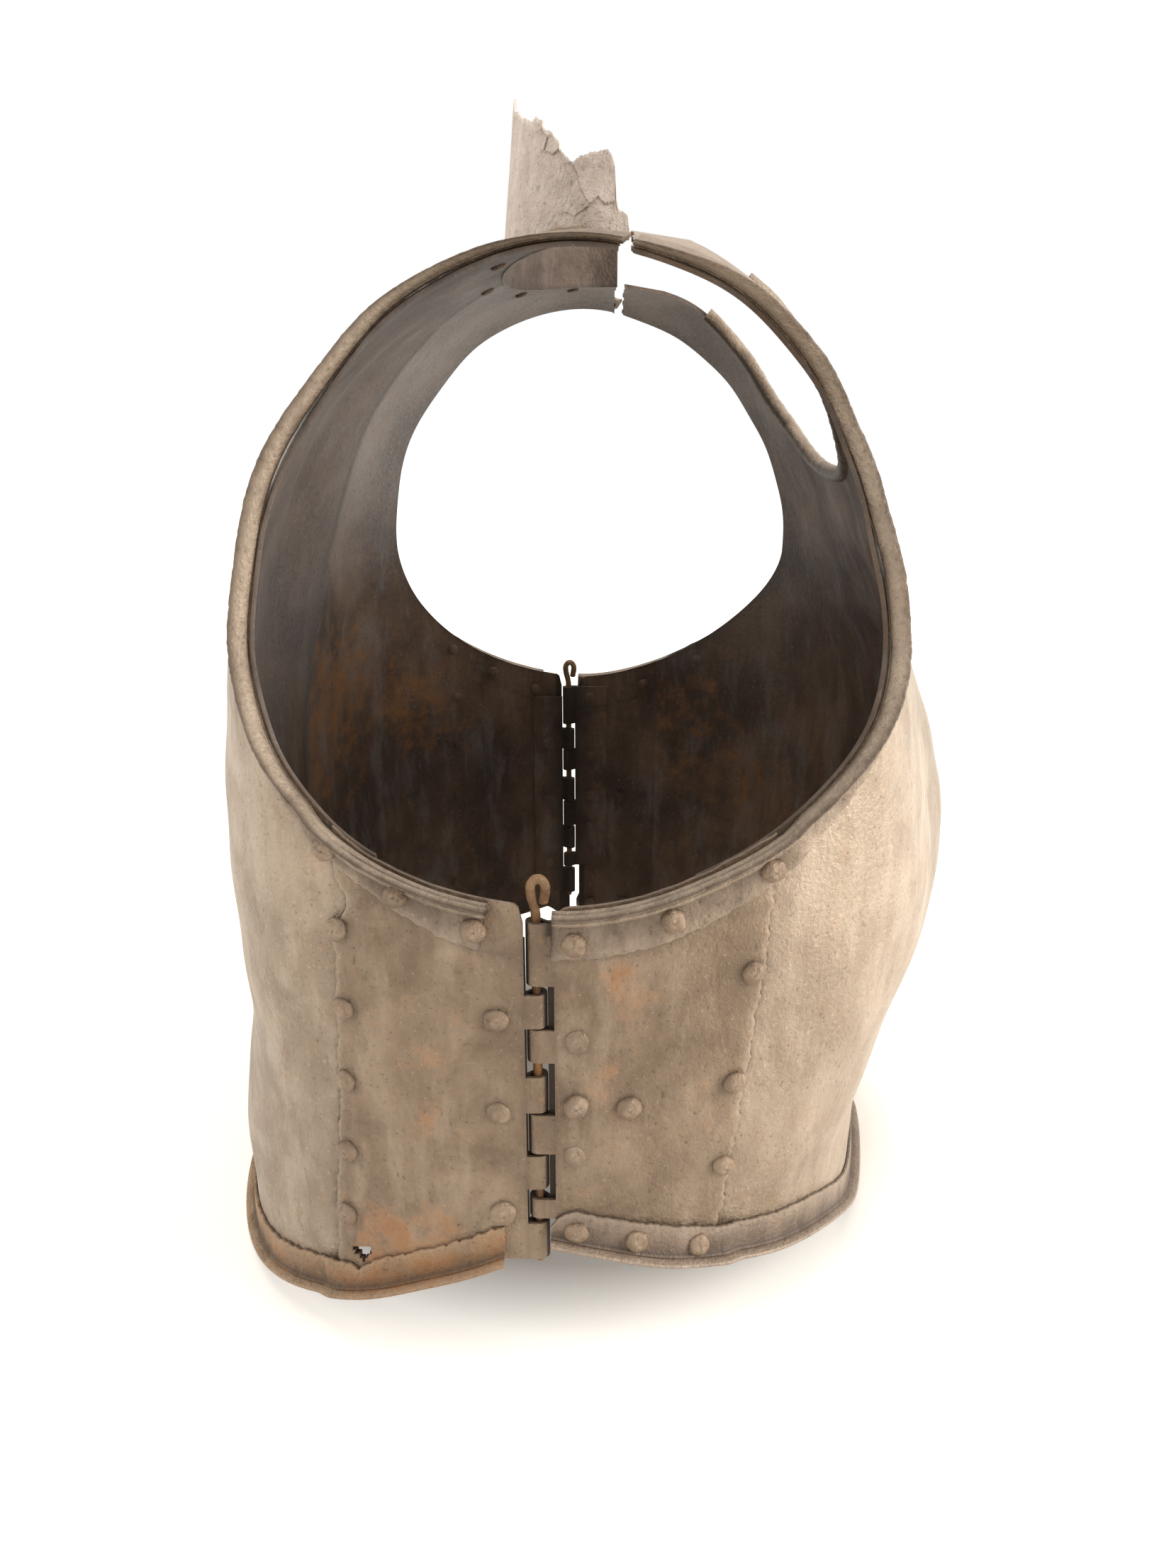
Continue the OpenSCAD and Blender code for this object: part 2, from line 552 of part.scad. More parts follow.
module front_waist_flange() {
    stations = 46;
    end = place(flange_front_y, waist_z)[0];
    rings = [for (k = [0:stations])
        let(a = mix(-end, end, k / stations), y = skin(a, waist_z)[1],
            w = flange_w - tongue_drop * (1 - ease((flange_front_y - y) / tongue_run)))
        flange_ring(a, skirt_front(a), seat(y, front_seam_y(55)), w)];
    color([0.44, 0.35, 0.29]) translate([0, hinge_y, 0]) sweep(rings);
}

module back_waist_flange() {
    stations = 46;
    end = place(flange_back_y, waist_z)[0];
    rings = [for (k = [0:stations])
        let(a = mix(end, 360 - end, k / stations), y = skin(a, waist_z)[1])
        flange_ring(a, skirt_back(a), seat(y, back_seam_y(50)), flange_w)];
    color([0.50, 0.36, 0.26]) translate([0, hinge_y, 0]) sweep(rings);
}

// A rivet with a domed head on top of its grip and a hammered end below it
module rivet(grip) {
    rotate_extrude($fn = 28)
        polygon([[0, -grip - 1.1], [2.4, -grip - 1.1], [2.9, -grip - 0.1], [shank_r, -grip - 0.1],
            [shank_r, 0.05], [rivet_r, 0.05], [0.94 * rivet_r, 0.4 * rivet_h], [0.72 * rivet_r, 0.75 * rivet_h],
            [0.38 * rivet_r, 0.95 * rivet_h], [0, rivet_h]]);
}

// Rivets at a list of places, with their heads h over the form and their ends low under it
module rivets(list, h, low, side) {
    color([0.45, 0.37, 0.31]) mirrored(side)
        for (r = list) {
            p = place(r[0], r[1]);
            n = outward(p[0], p[1]);
            translate(proud(p, h)) rotate([0, acos(n[2]), atan2(n[1], n[0])]) rivet(h + low);
        }
}

module front_seam_rivets(side) rivets(front_seam_rivets_at, plate_top, plate_t, side);
module back_seam_rivets(side) rivets(back_seam_rivets_at, plate_top, plate_t, side);
module front_hinge_rivets(side) rivets(front_hinge_rivets_at, plate_top, leaf_low, side);
module back_hinge_rivets(side) rivets(back_hinge_rivets_at, plate_top, leaf_low, side);
function below_armhole(list) = [for (r = list) [r[0], arm_low_z(r[0]) - r[1]]];
module front_armhole_rivets(side) rivets(below_armhole(front_arm_rivets_in), strip_top, plate_t, side);
module back_armhole_rivets(side) rivets(below_armhole(back_arm_rivets_in), strip_top, plate_t, side);

module front_waist_rivets() {
    for (side = [-1, 1]) rivets(front_waist_rivets_at, strip_top, plate_t, side);
}

module back_neck_rivets() {
    h = seat_low + strip_t;
    color([0.45, 0.37, 0.31]) translate([0, hinge_y, 0])
        for (t = [-0.9, -0.5, 0, 0.5, 0.9] * nape_turn) {
            e = nape_edge(t);
            p = moved(e, heading(nape_edge(t + 1), nape_edge(t - 1)), nape_w - nape_rivet_in);
            n = outward(p[0], p[1]);
            translate(proud(p, h)) rotate([0, acos(n[2]), atan2(n[1], n[0])])
                scale(nape_rivet_scale) rivet((h + plate_t) / nape_rivet_scale);
        }
}

module hinge_pin(side) {
    color([0.55, 0.38, 0.24]) mirrored(side) {
        translate([knuckle_x, 0, pin_low_z]) cylinder(r = pin_r, h = loop_z - loop_r - pin_low_z, $fn = 32);
        translate([knuckle_x, 0, loop_z]) rotate([0, 90, 0])
            rotate_extrude($fn = 40) translate([loop_r, 0]) circle(r = pin_r, $fn = 20);
    }
}

front_plate();
front_side_plate(-1);  // front_side_plate_right
front_side_plate(1);  // front_side_plate_left
front_armhole_border(-1);  // front_armhole_border_right
front_armhole_border(1);  // front_armhole_border_left
front_neck_rim();
front_waist_flange();
front_seam_rivets(-1);  // front_seam_rivets_right
front_seam_rivets(1);  // front_seam_rivets_left
front_hinge_rivets(-1);  // front_hinge_rivets_right
front_hinge_rivets(1);  // front_hinge_rivets_left
front_armhole_rivets(-1);  // front_armhole_rivets_right
front_armhole_rivets(1);  // front_armhole_rivets_left
front_waist_rivets();
back_plate();
back_side_plate(-1);  // back_side_plate_right
back_side_plate(1);  // back_side_plate_left
back_armhole_border(-1);  // back_armhole_border_right
back_armhole_border(1);  // back_armhole_border_left
back_neck_border();
back_collar();
back_waist_flange();
back_seam_rivets(-1);  // back_seam_rivets_right
back_seam_rivets(1);  // back_seam_rivets_left
back_hinge_rivets(-1);  // back_hinge_rivets_right
back_hinge_rivets(1);  // back_hinge_rivets_left
back_armhole_rivets(-1);  // back_armhole_rivets_right
back_armhole_rivets(1);  // back_armhole_rivets_left
back_neck_rivets();
hinge_pin(-1);  // right_hinge_pin
hinge_pin(1);  // left_hinge_pin
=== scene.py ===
import bpy
import numpy as np
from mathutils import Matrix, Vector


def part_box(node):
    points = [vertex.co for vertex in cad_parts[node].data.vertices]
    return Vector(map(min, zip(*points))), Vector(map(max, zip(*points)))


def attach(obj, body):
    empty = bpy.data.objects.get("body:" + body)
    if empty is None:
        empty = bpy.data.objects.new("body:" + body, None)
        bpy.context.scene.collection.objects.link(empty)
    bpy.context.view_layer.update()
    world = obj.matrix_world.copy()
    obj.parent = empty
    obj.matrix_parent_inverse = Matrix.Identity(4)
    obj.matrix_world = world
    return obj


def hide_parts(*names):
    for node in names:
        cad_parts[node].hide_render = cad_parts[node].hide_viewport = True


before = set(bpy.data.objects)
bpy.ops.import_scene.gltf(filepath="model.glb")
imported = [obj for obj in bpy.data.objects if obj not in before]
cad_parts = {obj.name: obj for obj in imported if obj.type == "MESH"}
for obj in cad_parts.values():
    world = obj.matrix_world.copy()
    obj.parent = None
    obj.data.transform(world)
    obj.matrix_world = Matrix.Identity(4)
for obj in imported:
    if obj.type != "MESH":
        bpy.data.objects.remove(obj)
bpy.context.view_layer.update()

# The breast
# A sheet of iron 1.5 mm thick, beaten into a keeled belly, with two straps that run up to the shoulders.
# The armholes and the neck are cut out of it, and the other pieces of the breast are riveted to it.
MM = 0.001
HINGE_Y = (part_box("right_hinge_pin")[0][1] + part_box("right_hinge_pin")[1][1]) / 2 / MM
# Half width, where it is widest, and where the form would close. Depths in front and behind, with their
# heights
SIDE_X, CHEST_Z, TOP_Z = 168.0, 185.0, 392.0
BELLY_D, BELLY_Z, WAIST_FRONT_D = 152.0, 145.0, 134.0
BLADE_D, BLADE_Z, WAIST_BACK_D, WAIST_Z = 131.0, 110.0, 139.0, 36.0
# How the form closes towards the top, and how square its plan is at the waist, and from PLAN_Z up
SHOULDER_POW, BELLY_POW, BLADE_POW = 6, 2, 2.6
PLAN_LOW, PLAN_HIGH, PLAN_Z = 2.6, 3.3, 250
# The keel, its share at the waist and the height in which it dies out over the belly. The spine's ridge, and
# where it starts and ends, each with the height that takes
LEAN, KEEL_D, KEEL_W, KEEL_LOW, KEEL_FADE = 28.0, 27.0, 55.0, 0.35, 160
SPINE_D, SPINE_W, SPINE_START, SPINE_END = 9.0, 30.0, (180, 60), (330, 50)
PLATE_T, LAP_W, SEAM_Y = 1.5, 14.0, 66
# The armhole: its middle, its reach up, down, back and forward, and how full its curve is each way
ARM_Y, ARM_Z, ARM_UP, ARM_DOWN = -10.5, 262.0, 122.0, 80.0
ARM_BACK = 0.72 * BLADE_D - ARM_Y
ARM_FRONT = 0.775 * BELLY_D + ARM_Y
UP_POW, BACK_POW, FRONT_POW = 1.95, 2.0, 1.7
NECK_HALF, NECK_Z, NECK_POW, SHOULDER_GAP = 88.0, 306.0, 2.5, 3.0
# The lips' edges: their heights at the hinges, and how much lower they hang beside the left one
LIP_FRONT_Z, LIP_BACK_Z, LEFT_FRONT, LEFT_BACK = 54, 51, 22, 14


def ease(t):
    """A smooth step from 0 to 1 as t goes from 0 to 1: half a cosine wave."""
    return (1 - np.cos(np.pi * np.clip(t, 0, 1))) / 2


def mix(p, q, t):
    """The value t of the way from p to q."""
    return p + (q - p) * t


def dome(t, power):
    """A superellipse arch: 1 at t = 0, falling to 0 at t = 1."""
    return (1 - np.clip(t, 0, 0.9999) ** power) ** (1 / power)


def quarter(t):
    """A quarter of a circle: 0 at t = 0, rising ever steeper to 1 at t = 1."""
    return 1 - np.sqrt(1 - t ** 2)


def unit(v):
    """The vectors brought to length 1."""
    return v / np.linalg.norm(v, axis=-1, keepdims=True)


def ripple(*terms):
    """A wavy value between about -1 and 1: the mean of sines of the given phases."""
    return sum(np.sin(t) for t in terms) / len(terms)


def form(z):
    """Half width, front depth, back depth, middle and squareness of the body's plan at height z, in mm."""
    half = SIDE_X * dome((z - CHEST_Z) / (TOP_Z - CHEST_Z), SHOULDER_POW)
    front = np.where(z > BELLY_Z, BELLY_D * dome((z - BELLY_Z) / (TOP_Z - BELLY_Z), BELLY_POW),
                     mix(WAIST_FRONT_D, BELLY_D, ease((z - WAIST_Z) / (BELLY_Z - WAIST_Z))))
    back = np.where(z > BLADE_Z, BLADE_D * dome((z - BLADE_Z) / (TOP_Z - BLADE_Z), BLADE_POW),
                    mix(WAIST_BACK_D, BLADE_D, ease((z - WAIST_Z) / (BLADE_Z - WAIST_Z))))
    middle = -LEAN * np.clip((z - BELLY_Z) / (TOP_Z - BELLY_Z), 0, 1) ** 4
    square = mix(PLAN_LOW, PLAN_HIGH, ease((z - WAIST_Z) / (PLAN_Z - WAIST_Z)))
    return half, front, back, middle, square


def skin(a, z):
    """The body's outer face: a squared oval round the wearer at each height z, where the turn a is 0 degrees
    at the breast bone, 90 on the left side and 180 at the spine, plus a keel in front and a ridge behind."""
    a, z = np.broadcast_arrays(np.asarray(a, float), np.asarray(z, float))
    half, front, back, middle, n = form(z)
    s, c = np.sin(np.radians(a)), np.cos(np.radians(a))
    r = (np.abs(s) ** n + np.abs(c) ** n) ** (-1 / n)
    x = half * s * r
    swelling = mix(KEEL_LOW, 1, ease((z - WAIST_Z) / (BELLY_Z - WAIST_Z)))
    share = np.where(z > BELLY_Z, 1 - ease((z - BELLY_Z) / KEEL_FADE), swelling)
    keel = KEEL_D * np.exp(-(np.abs(x) / KEEL_W) ** 1.5) * share
    starts, ends = (ease((z - at) / over) for at, over in (SPINE_START, SPINE_END))
    ridge = SPINE_D * np.exp(-(x / SPINE_W) ** 2) * starts * (1 - ends)
    y = middle - np.where(c > 0, front, back) * c * r - np.where(c > 0, keel, -ridge)
    return np.stack([x, y, z], -1)


def slopes(a, z):
    """How the outer face runs per degree of turn and per mm of height, and its outward unit normal."""
    along = (skin(a + 0.2, z) - skin(a - 0.2, z)) / 0.4
    up = (skin(a, z + 0.2) - skin(a, z - 0.2)) / 0.4
    return along, up, unit(np.cross(along, up))


def beaten(p):
    """How far the hammer left the face proud of the true form, in mm: swells of 0.9 mm some 130 mm apart, of
    0.35 mm every 50 mm and of 0.25 mm every 40 mm, which die out at the hinges."""
    x, y, z = np.moveaxis(p, -1, 0)
    swell = 0.9 * np.sin(0.045 * z + 0.021 * x + 0.6) * np.sin(0.052 * y + 0.3)
    swell = swell + 0.35 * np.sin(0.12 * y - 0.05 * z + 1.7) + 0.25 * np.sin(0.16 * z + 0.07 * y + 0.02 * x)
    return swell * ease((np.abs(y) - 14) / 40)


def proud(a, z, h):
    """The point at height h over the beaten face, at turn a and height z."""
    p = skin(a, z)
    return p + (np.asarray(h) + beaten(p))[..., None] * slopes(a, z)[2]


def place(y, z):
    """The turn, on the wearer's left, at which the form lies y from the hinge plane at height z."""
    half, front, back, middle, n = form(np.asarray(z, float))
    q = np.clip((middle - y) / np.where(y < middle, front, back), -0.9999, 0.9999)
    return np.degrees(np.arctan2((1 - np.abs(q) ** n) ** (1 / n), q))


def power(v, p):
    """v to the power p, keeping its sign."""
    return np.sign(v) * np.abs(v) ** p


def armhole(t):
    """Turn and height on the left armhole's edge, an egg of two halves. t runs once round it in degrees:
    -90 at the lowest point, 0 at the back, 90 at the top and 180 in front."""
    t = np.asarray(t, float)
    s, c = np.sin(np.radians(t)), np.cos(np.radians(t))
    p = np.where(s > 0, UP_POW, np.where(c > 0, BACK_POW, FRONT_POW))
    y = ARM_Y + np.where(c > 0, ARM_BACK, ARM_FRONT) * power(c, 2 / p)
    z = ARM_Z + np.where(s > 0, ARM_UP, ARM_DOWN) * power(s, 2 / p)
    return place(y, z), z


def arm_low_z(y):
    """Height of the lower edge of the armhole, y from the hinge plane."""
    p = np.where(y > ARM_Y, BACK_POW, FRONT_POW)
    q = np.abs(y - ARM_Y) / np.where(y > ARM_Y, ARM_BACK, ARM_FRONT)
    return ARM_Z - ARM_DOWN * (1 - q ** p) ** (1 / p)


def arm_turn(y, upper):
    """The turn round the armhole, in degrees, at which its edge lies y from the hinge plane."""
    back = y > ARM_Y
    q = abs(y - ARM_Y) / (ARM_BACK if back else ARM_FRONT)
    t = np.degrees(np.arccos(q ** ((UP_POW if upper else BACK_POW if back else FRONT_POW) / 2)))
    t = t if upper else -t
    return t if back else 180 - t


def neck_front(t):
    """Turn and height on the neck's edge in front: 0 degrees at its lowest point, 90 on the left shoulder."""
    t = np.radians(t)
    z = NECK_TOP - (NECK_TOP - NECK_Z) * np.abs(np.cos(t)) ** (2 / NECK_POW)
    half, front, back, middle, n = form(z)
    p = np.minimum(NECK_HALF * np.sin(t) ** (2 / NECK_POW) / half, 0.99999)
    return np.degrees(np.arctan2(p, (1 - p ** n) ** (1 / n))), z


def lip_front(y, x, left):
    """Height of the lip's edge under the breast: it drops away from the hinges, lies flat in the middle, and
    stands lower beside the left hinge than beside the right one."""
    low = LEFT_FRONT * (1 - ease(-y / 90)) * left
    return np.maximum(0, LIP_FRONT_Z + 0.25 * y - 20 * ease((140 - np.abs(x)) / 80) - low)


def lip_back(y, left):
    """Height of the lip's edge under the back, also lower beside the left hinge."""
    low = LEFT_BACK * (1 - ease(y / 100)) * left
    return np.maximum(0, LIP_BACK_Z - 0.5 * y + 0.0008 * y * y - low)


def skirt(a):
    """Height of the lip's edge at turn a."""
    p = skin(a, WAIST_Z)
    x, y, left = p[..., 0], p[..., 1], p[..., 0] > 0
    return np.where(np.cos(np.radians(a)) > 0, lip_front(y, x, left), lip_back(y, left))


# The shoulders at the neck's width, and how high a lip stands over its edge
NECK_TOP = CHEST_Z + (TOP_Z - CHEST_Z) * (1 - (NECK_HALF / SIDE_X) ** SHOULDER_POW) ** (1 / SHOULDER_POW)
LIP_H = 2.5
# The hidden edge under the side plate. Then the turns round the armhole at which that edge meets it, and at
# which the strap begins and ends, and the turn round the neck at which the strap begins
FRONT_UNDER = LAP_W - SEAM_Y
FRONT_START = arm_turn(FRONT_UNDER, False)
FRONT_SPLIT = 180 - np.degrees(np.arcsin(((NECK_Z + 4 - ARM_Z) / ARM_UP) ** (UP_POW / 2)))
FRONT_END = arm_turn(-LEAN, True)
SPLIT_TURN = 42


def shoulder_stop(a, z, y, side):
    """Keeps a turn on its own side of the shoulder joint: -1 for the breast, 1 for the back."""
    return side * np.maximum(side * a, side * place(y, z))


def torn(s):
    """How far a strap's end is eaten back, in mm, s across the strap."""
    return 0.9 * np.abs(np.sin(9 * s + 1)) + 0.7 * np.abs(np.sin(23 * s)) ** 3


def strap(s, t):
    """A place on the breast's strap: s goes from the neck's edge to the armhole's, t up to the shoulder."""
    a0, z0 = neck_front(mix(SPLIT_TURN, 90, t))
    a1, z1 = armhole(mix(FRONT_SPLIT, FRONT_END, t))
    z = mix(z0, z1, s)
    return shoulder_stop(mix(a0, a1, s), z, -LEAN - SHOULDER_GAP / 2 - torn(s), -1), z


def breast_low(f, t, side):
    """The breast under the armholes: f goes from the middle to the hidden edge, t up from the waist, and side
    is 1 on the left half and -1 on the right one."""
    z1 = armhole(FRONT_START)[1]
    z = mix(skirt(side * f * place(FRONT_UNDER, z1)) + LIP_H, z1, t)
    return f * place(FRONT_UNDER, z), z


def breast_high(f, t, split):
    """The breast between the armholes, up to the neck's edge and the feet of the straps."""
    a1, z1 = armhole(mix(FRONT_START, FRONT_SPLIT, t))
    low, high = armhole(FRONT_START)[1], armhole(FRONT_SPLIT)[1]
    neck_a, neck_z = neck_front(np.minimum(SPLIT_TURN * f / split, SPLIT_TURN))
    strap_a, strap_z = strap(np.clip((f - split) / (1 - split), 0, 1), 0.0)
    top_a = np.where(f <= split, neck_a, strap_a)
    top_z = np.where(f <= split, neck_z, strap_z)
    return a1 * mix(f, top_a / armhole(FRONT_SPLIT)[0], t), mix(low, top_z, (z1 - low) / (high - low))


def faces_of(grid, cells):
    """Quads of a grid of point numbers, where cells says which of its cells exist."""
    corners = np.stack([grid[:-1, :-1], grid[:-1, 1:], grid[1:, 1:], grid[1:, :-1]], -1)
    return corners[cells]


def shell(outer, inner, cells):
    """A sheet of metal as two grids of points and the walls that close every open edge between them. Returns
    the points, the quads, and for each quad 0 on the outer face, 1 on the inner one and 2 on an edge."""
    rows, cols = cells.shape
    top = np.arange((rows + 1) * (cols + 1)).reshape(rows + 1, cols + 1)
    low = top + top.size
    around = np.pad(cells, 1)
    quads = [faces_of(top, cells), faces_of(low, cells)[:, ::-1]]
    for (dr, dc), (i, j) in {(-1, 0): (1, 0), (1, 0): (3, 2), (0, -1): (0, 3), (0, 1): (2, 1)}.items():
        open_edge = cells & ~around[1 + dr:1 + dr + rows, 1 + dc:1 + dc + cols]
        t, u = faces_of(top, open_edge), faces_of(low, open_edge)
        quads.append(np.stack([t[:, i], t[:, j], u[:, j], u[:, i]], -1))
    side = np.concatenate([np.full(len(q), min(k, 2)) for k, q in enumerate(quads)])
    return np.concatenate([outer.reshape(-1, 3), inner.reshape(-1, 3)]), np.concatenate(quads), side


def put(name, body, points, quads, metals, which=0, rust=0.0, dirt_and_shade=0.0, wear_and_sheen=0.0, right=False, crease=38):
    """Makes a piece of the given points, in mm from the hinge plane, drops the unused ones, and stores how
    rusty each point is, how dark with dirt and painted shade, and how pale with wear and painted sheen. A
    piece for the right side is the left one mirrored."""
    used, again = np.unique(quads, return_inverse=True)
    quads = again.reshape(quads.shape)
    stains_and_light = np.stack([np.broadcast_to(v, len(points)) for v in (rust, dirt_and_shade, wear_and_sheen, 1.0)], -1)
    if right:
        points, quads = points * [-1, 1, 1], quads[:, ::-1]
    mesh = bpy.data.meshes.new(name)
    mesh.from_pydata(((points[used] + [0, HINGE_Y, 0]) * MM).tolist(), [], quads.tolist())
    for metal in metals:
        mesh.materials.append(metal)
    mesh.polygons.foreach_set("material_index", np.broadcast_to(which, len(quads)).astype(np.int32))
    mesh.attributes.new("stains_shade_and_sheen", "FLOAT_COLOR", "POINT").data.foreach_set(
        "color", np.clip(stains_and_light[used], 0, 1).astype(np.float32).ravel())
    mesh.shade_smooth()
    mesh.set_sharp_from_angle(angle=np.radians(crease))
    made = bpy.data.objects.new(name, mesh)
    bpy.context.scene.collection.objects.link(made)
    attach(made, body)
    return made


def paint(code):
    """An sRGB hex colour as linear RGBA."""
    rgb = np.array([int(code[k:k + 2], 16) for k in (1, 3, 5)]) / 255
    return (*np.where(rgb <= 0.04045, rgb / 12.92, ((rgb + 0.055) / 1.055) ** 2.4).tolist(), 1.0)


def add(tree, kind, inputs=None, **settings):
    """Adds a node to a material: inputs gives values or links for its sockets, settings its own choices."""
    made = tree.nodes.new(kind)
    for key, value in settings.items():
        setattr(made, key, value)
    for key, value in (inputs or {}).items():
        if isinstance(value, bpy.types.NodeSocket):
            tree.links.new(value, made.inputs[key])
        else:
            made.inputs[key].default_value = value
    return made


def bare_tree(block):
    """The node tree of a new material or world, with nothing in it."""
    block.use_nodes = True
    block.node_tree.nodes.clear()
    return block.node_tree


def iron(name, body, pale, dark, rusty, rough, mottle_mm=22.0, streak=0.3, rust_share=0.12, pit=0.3,
         metal=0.3):
    """Old iron under its own oxide: a mottled skin in three tones, faintly streaked down its height, with
    pits, pale crumbs and freckles of rust, dirt and painted shade where the stains_shade_and_sheen attribute
    says, and bare rubbed edges and painted sheen where it says so."""
    made = bpy.data.materials.new(name)
    tree = bare_tree(made)
    here = add(tree, "ShaderNodeTexCoord").outputs["Object"]
    drawn = add(tree, "ShaderNodeMapping", {"Vector": here, "Scale": (1.0, 1.0, 0.3)}).outputs[0]
    stains_and_light = add(tree, "ShaderNodeAttribute", attribute_name="stains_shade_and_sheen", attribute_type="GEOMETRY")
    stain_and_light_channels = add(tree, "ShaderNodeSeparateColor", {0: stains_and_light.outputs["Color"]}).outputs
    # Five noises, by spots per metre: the mottling, swells of 70 mm, streaks 13 mm wide, freckles of 12 mm
    # and a grain of 1.8 mm, which is coarser than the real one so that it shows
    cloud, swell, lines, freckle, grain = [
        add(tree, "ShaderNodeTexNoise", {"Vector": at, "Scale": per_m, "Detail": detail, "Roughness": ragged,
                                         "Distortion": bent}).outputs[0]
        for at, per_m, detail, ragged, bent in (
            (here, 1000 / mottle_mm, 7.0, 0.62, 0.4), (here, 14.0, 3.0, 0.5, 0.0),
            (drawn, 75.0, 6.0, 0.65, 0.0), (here, 85.0, 6.0, 0.68, 0.0), (here, 560.0, 3.0, 0.65, 0.0))]
    # Where the body colour, pale streaks, dark streaks, pits and pale crumbs lie: a noise, the levels at
    # which each begins and is full, and how strong it gets
    broad = add(tree, "ShaderNodeMath", {0: cloud, 1: swell}, operation="ADD").outputs[0]
    broad, light, deep, pits, crumbs = [
        add(tree, "ShaderNodeMapRange", {0: noise, 1: begins, 2: full, 3: 0.0, 4: most}).outputs[0]
        for noise, begins, full, most in (
            (broad, 0.84, 1.16, 1.0), (lines, 0.5, 0.68, streak + 0.2), (lines, 0.47, 0.32, streak + 0.4),
            (grain, 0.4, 0.28, 0.55), (grain, 0.62, 0.74, 0.6))]
    # Freckles of rust, which run together where the stains_shade_and_sheen attribute says rust
    level = add(tree, "ShaderNodeMath", {0: stain_and_light_channels[0], 1: 0.3}, operation="MULTIPLY").outputs[0]
    level = add(tree, "ShaderNodeMath", {0: freckle, 1: level}, operation="ADD").outputs[0]
    spots = add(tree, "ShaderNodeMapRange", {0: level, 1: 0.7 - rust_share, 2: 0.98 - rust_share * 0.6,
                                             3: 0.0, 4: 0.85}, interpolation_type="SMOOTHSTEP").outputs[0]
    soiled_and_shaded = add(tree, "ShaderNodeMath", {0: stain_and_light_channels[1], 1: 0.85}, operation="MULTIPLY").outputs[0]
    rubbing_and_sheen = add(tree, "ShaderNodeMath", {0: stain_and_light_channels[2], 1: grain}, operation="MULTIPLY").outputs[0]
    rubbing_and_sheen = add(tree, "ShaderNodeMath", {0: rubbing_and_sheen, 1: 1.5}, operation="MULTIPLY", use_clamp=True).outputs[0]
    # Mixed in over the tones: rust, pits and crumbs, then #2a2019 for dirt and painted shade, and the pale
    # for wear and painted sheen
    tone = paint(dark)
    for share, code in ((broad, body), (light, pale), (deep, dark), (spots, rusty), (pits, "#3a2c22"),
                        (crumbs, pale), (soiled_and_shaded, "#2a2019"), (rubbing_and_sheen, pale)):
        tone = add(tree, "ShaderNodeMix", {0: share, 6: tone, 7: paint(code)}, data_type="RGBA").outputs[2]
    # Rust, dirt and painted shade are dull, and the mottling makes the rest a little more and less so
    dull = add(tree, "ShaderNodeMapRange", {0: cloud, 1: 0.3, 2: 0.7, 3: rough + 0.1,
                                            4: rough - 0.08}).outputs[0]
    for cover in (spots, soiled_and_shaded):
        dull = add(tree, "ShaderNodeMath", {0: dull, 1: cover}, operation="MAXIMUM").outputs[0]
    height = cloud
    for noise in (lines, grain, freckle):
        height = add(tree, "ShaderNodeMath", {0: height, 1: noise}, operation="ADD").outputs[0]
    relief = add(tree, "ShaderNodeBump", {"Height": height, "Strength": pit, "Distance": 0.0014}).outputs[0]
    shader = add(tree, "ShaderNodeBsdfPrincipled", {"Base Color": tone, "Roughness": dull, "Metallic": metal,
                                                    "Normal": relief})
    add(tree, "ShaderNodeOutputMaterial", {"Surface": shader.outputs[0]})
    return made


# Iron plate under a brown patina, rubbed smooth by hands: satin, with paler streaks down its height
rubbed_plate = iron("rubbed_brown_iron", "#a69480", "#cbbaa5", "#8c7a66", "#a87d59", 0.42, streak=0.1,
                    rust_share=0.14, pit=0.5)
# The unrubbed inside of the same plate, under loose scale: dark, dry and stained with orange and olive rust
scaled_inside = iron("scaled_iron_inside", "#755e4a", "#8f8985", "#4b3b30", "#90653c", 0.72, mottle_mm=40.0,
                     streak=0.2, rust_share=0.14, metal=0.1)
INSIDE = [rubbed_plate, scaled_inside, scaled_inside]


def front_seam(z):
    """How far the edge of a front side plate lies from the hinge plane, negative towards the front: 63 mm at
    its foot and 77 mm at the armhole, cut by hand."""
    wander = 1.2 * ripple(0.21 * z + 0.5, 0.53 * z, 1.3 * z + np.sin(0.3 * z))
    return -mix(63, 77, np.clip((z - 45) / 120, 0, 1)) - wander


def from_armhole(p):
    """How far each point lies from the edge of the armhole on its own side, in mm."""
    edge = skin(*armhole(np.linspace(-180, 180, 361)))
    q = np.concatenate([np.abs(p[..., :1]), p[..., 1:]], -1).reshape(-1, 3)
    square = (q ** 2).sum(1)[:, None] + (edge ** 2).sum(1) - 2 * q @ edge.T
    return np.sqrt(np.maximum(square.min(1), 0)).reshape(p.shape[:-1])


def shaded(p, seam):
    """Painted shade and dirt on a main plate's outside and inside: a dark line just past the ragged edge of
    the side plate, the painted shadow of its step with dirt in it, which dies out above it, a softer painted
    shadow along the armhole border, and on both faces dirt at the edge of the hole."""
    past = np.abs(p[..., 1]) - np.abs(seam(p[..., 2]))
    line = 0.85 * np.exp(-np.clip(past - 0.3, 0, None) / 0.8) * ease((SEAM_TOP_Z - p[..., 2]) / 8)
    hole = from_armhole(p)
    beside = 0.45 * np.exp(-np.abs(hole - (BORDER_W + 0.8)) / 0.9)
    edge = 0.75 * np.exp(-hole / 1.5)
    return np.max([line, beside, edge], axis=0).ravel(), edge.ravel()


def blotches(a, z, marks):
    """The sum of soft round stains, each given as turn, height, spread in degrees, spread in mm and
    strength."""
    return sum(strength * np.exp(-((a - at) / wide) ** 2 - ((z - high) / tall) ** 2)
               for at, high, wide, tall, strength in marks)


# Where the seam's painted shade and dirt end, and the width of a border's flat leg
SEAM_TOP_Z, BORDER_W = 206, 9.0
# Rows of the three bands, and columns of half the breast, of which the inner ones end at the neck
BREAST_ROWS = (80, 60, 50)
HALF_COLS, SPLIT_COL = 80, 32
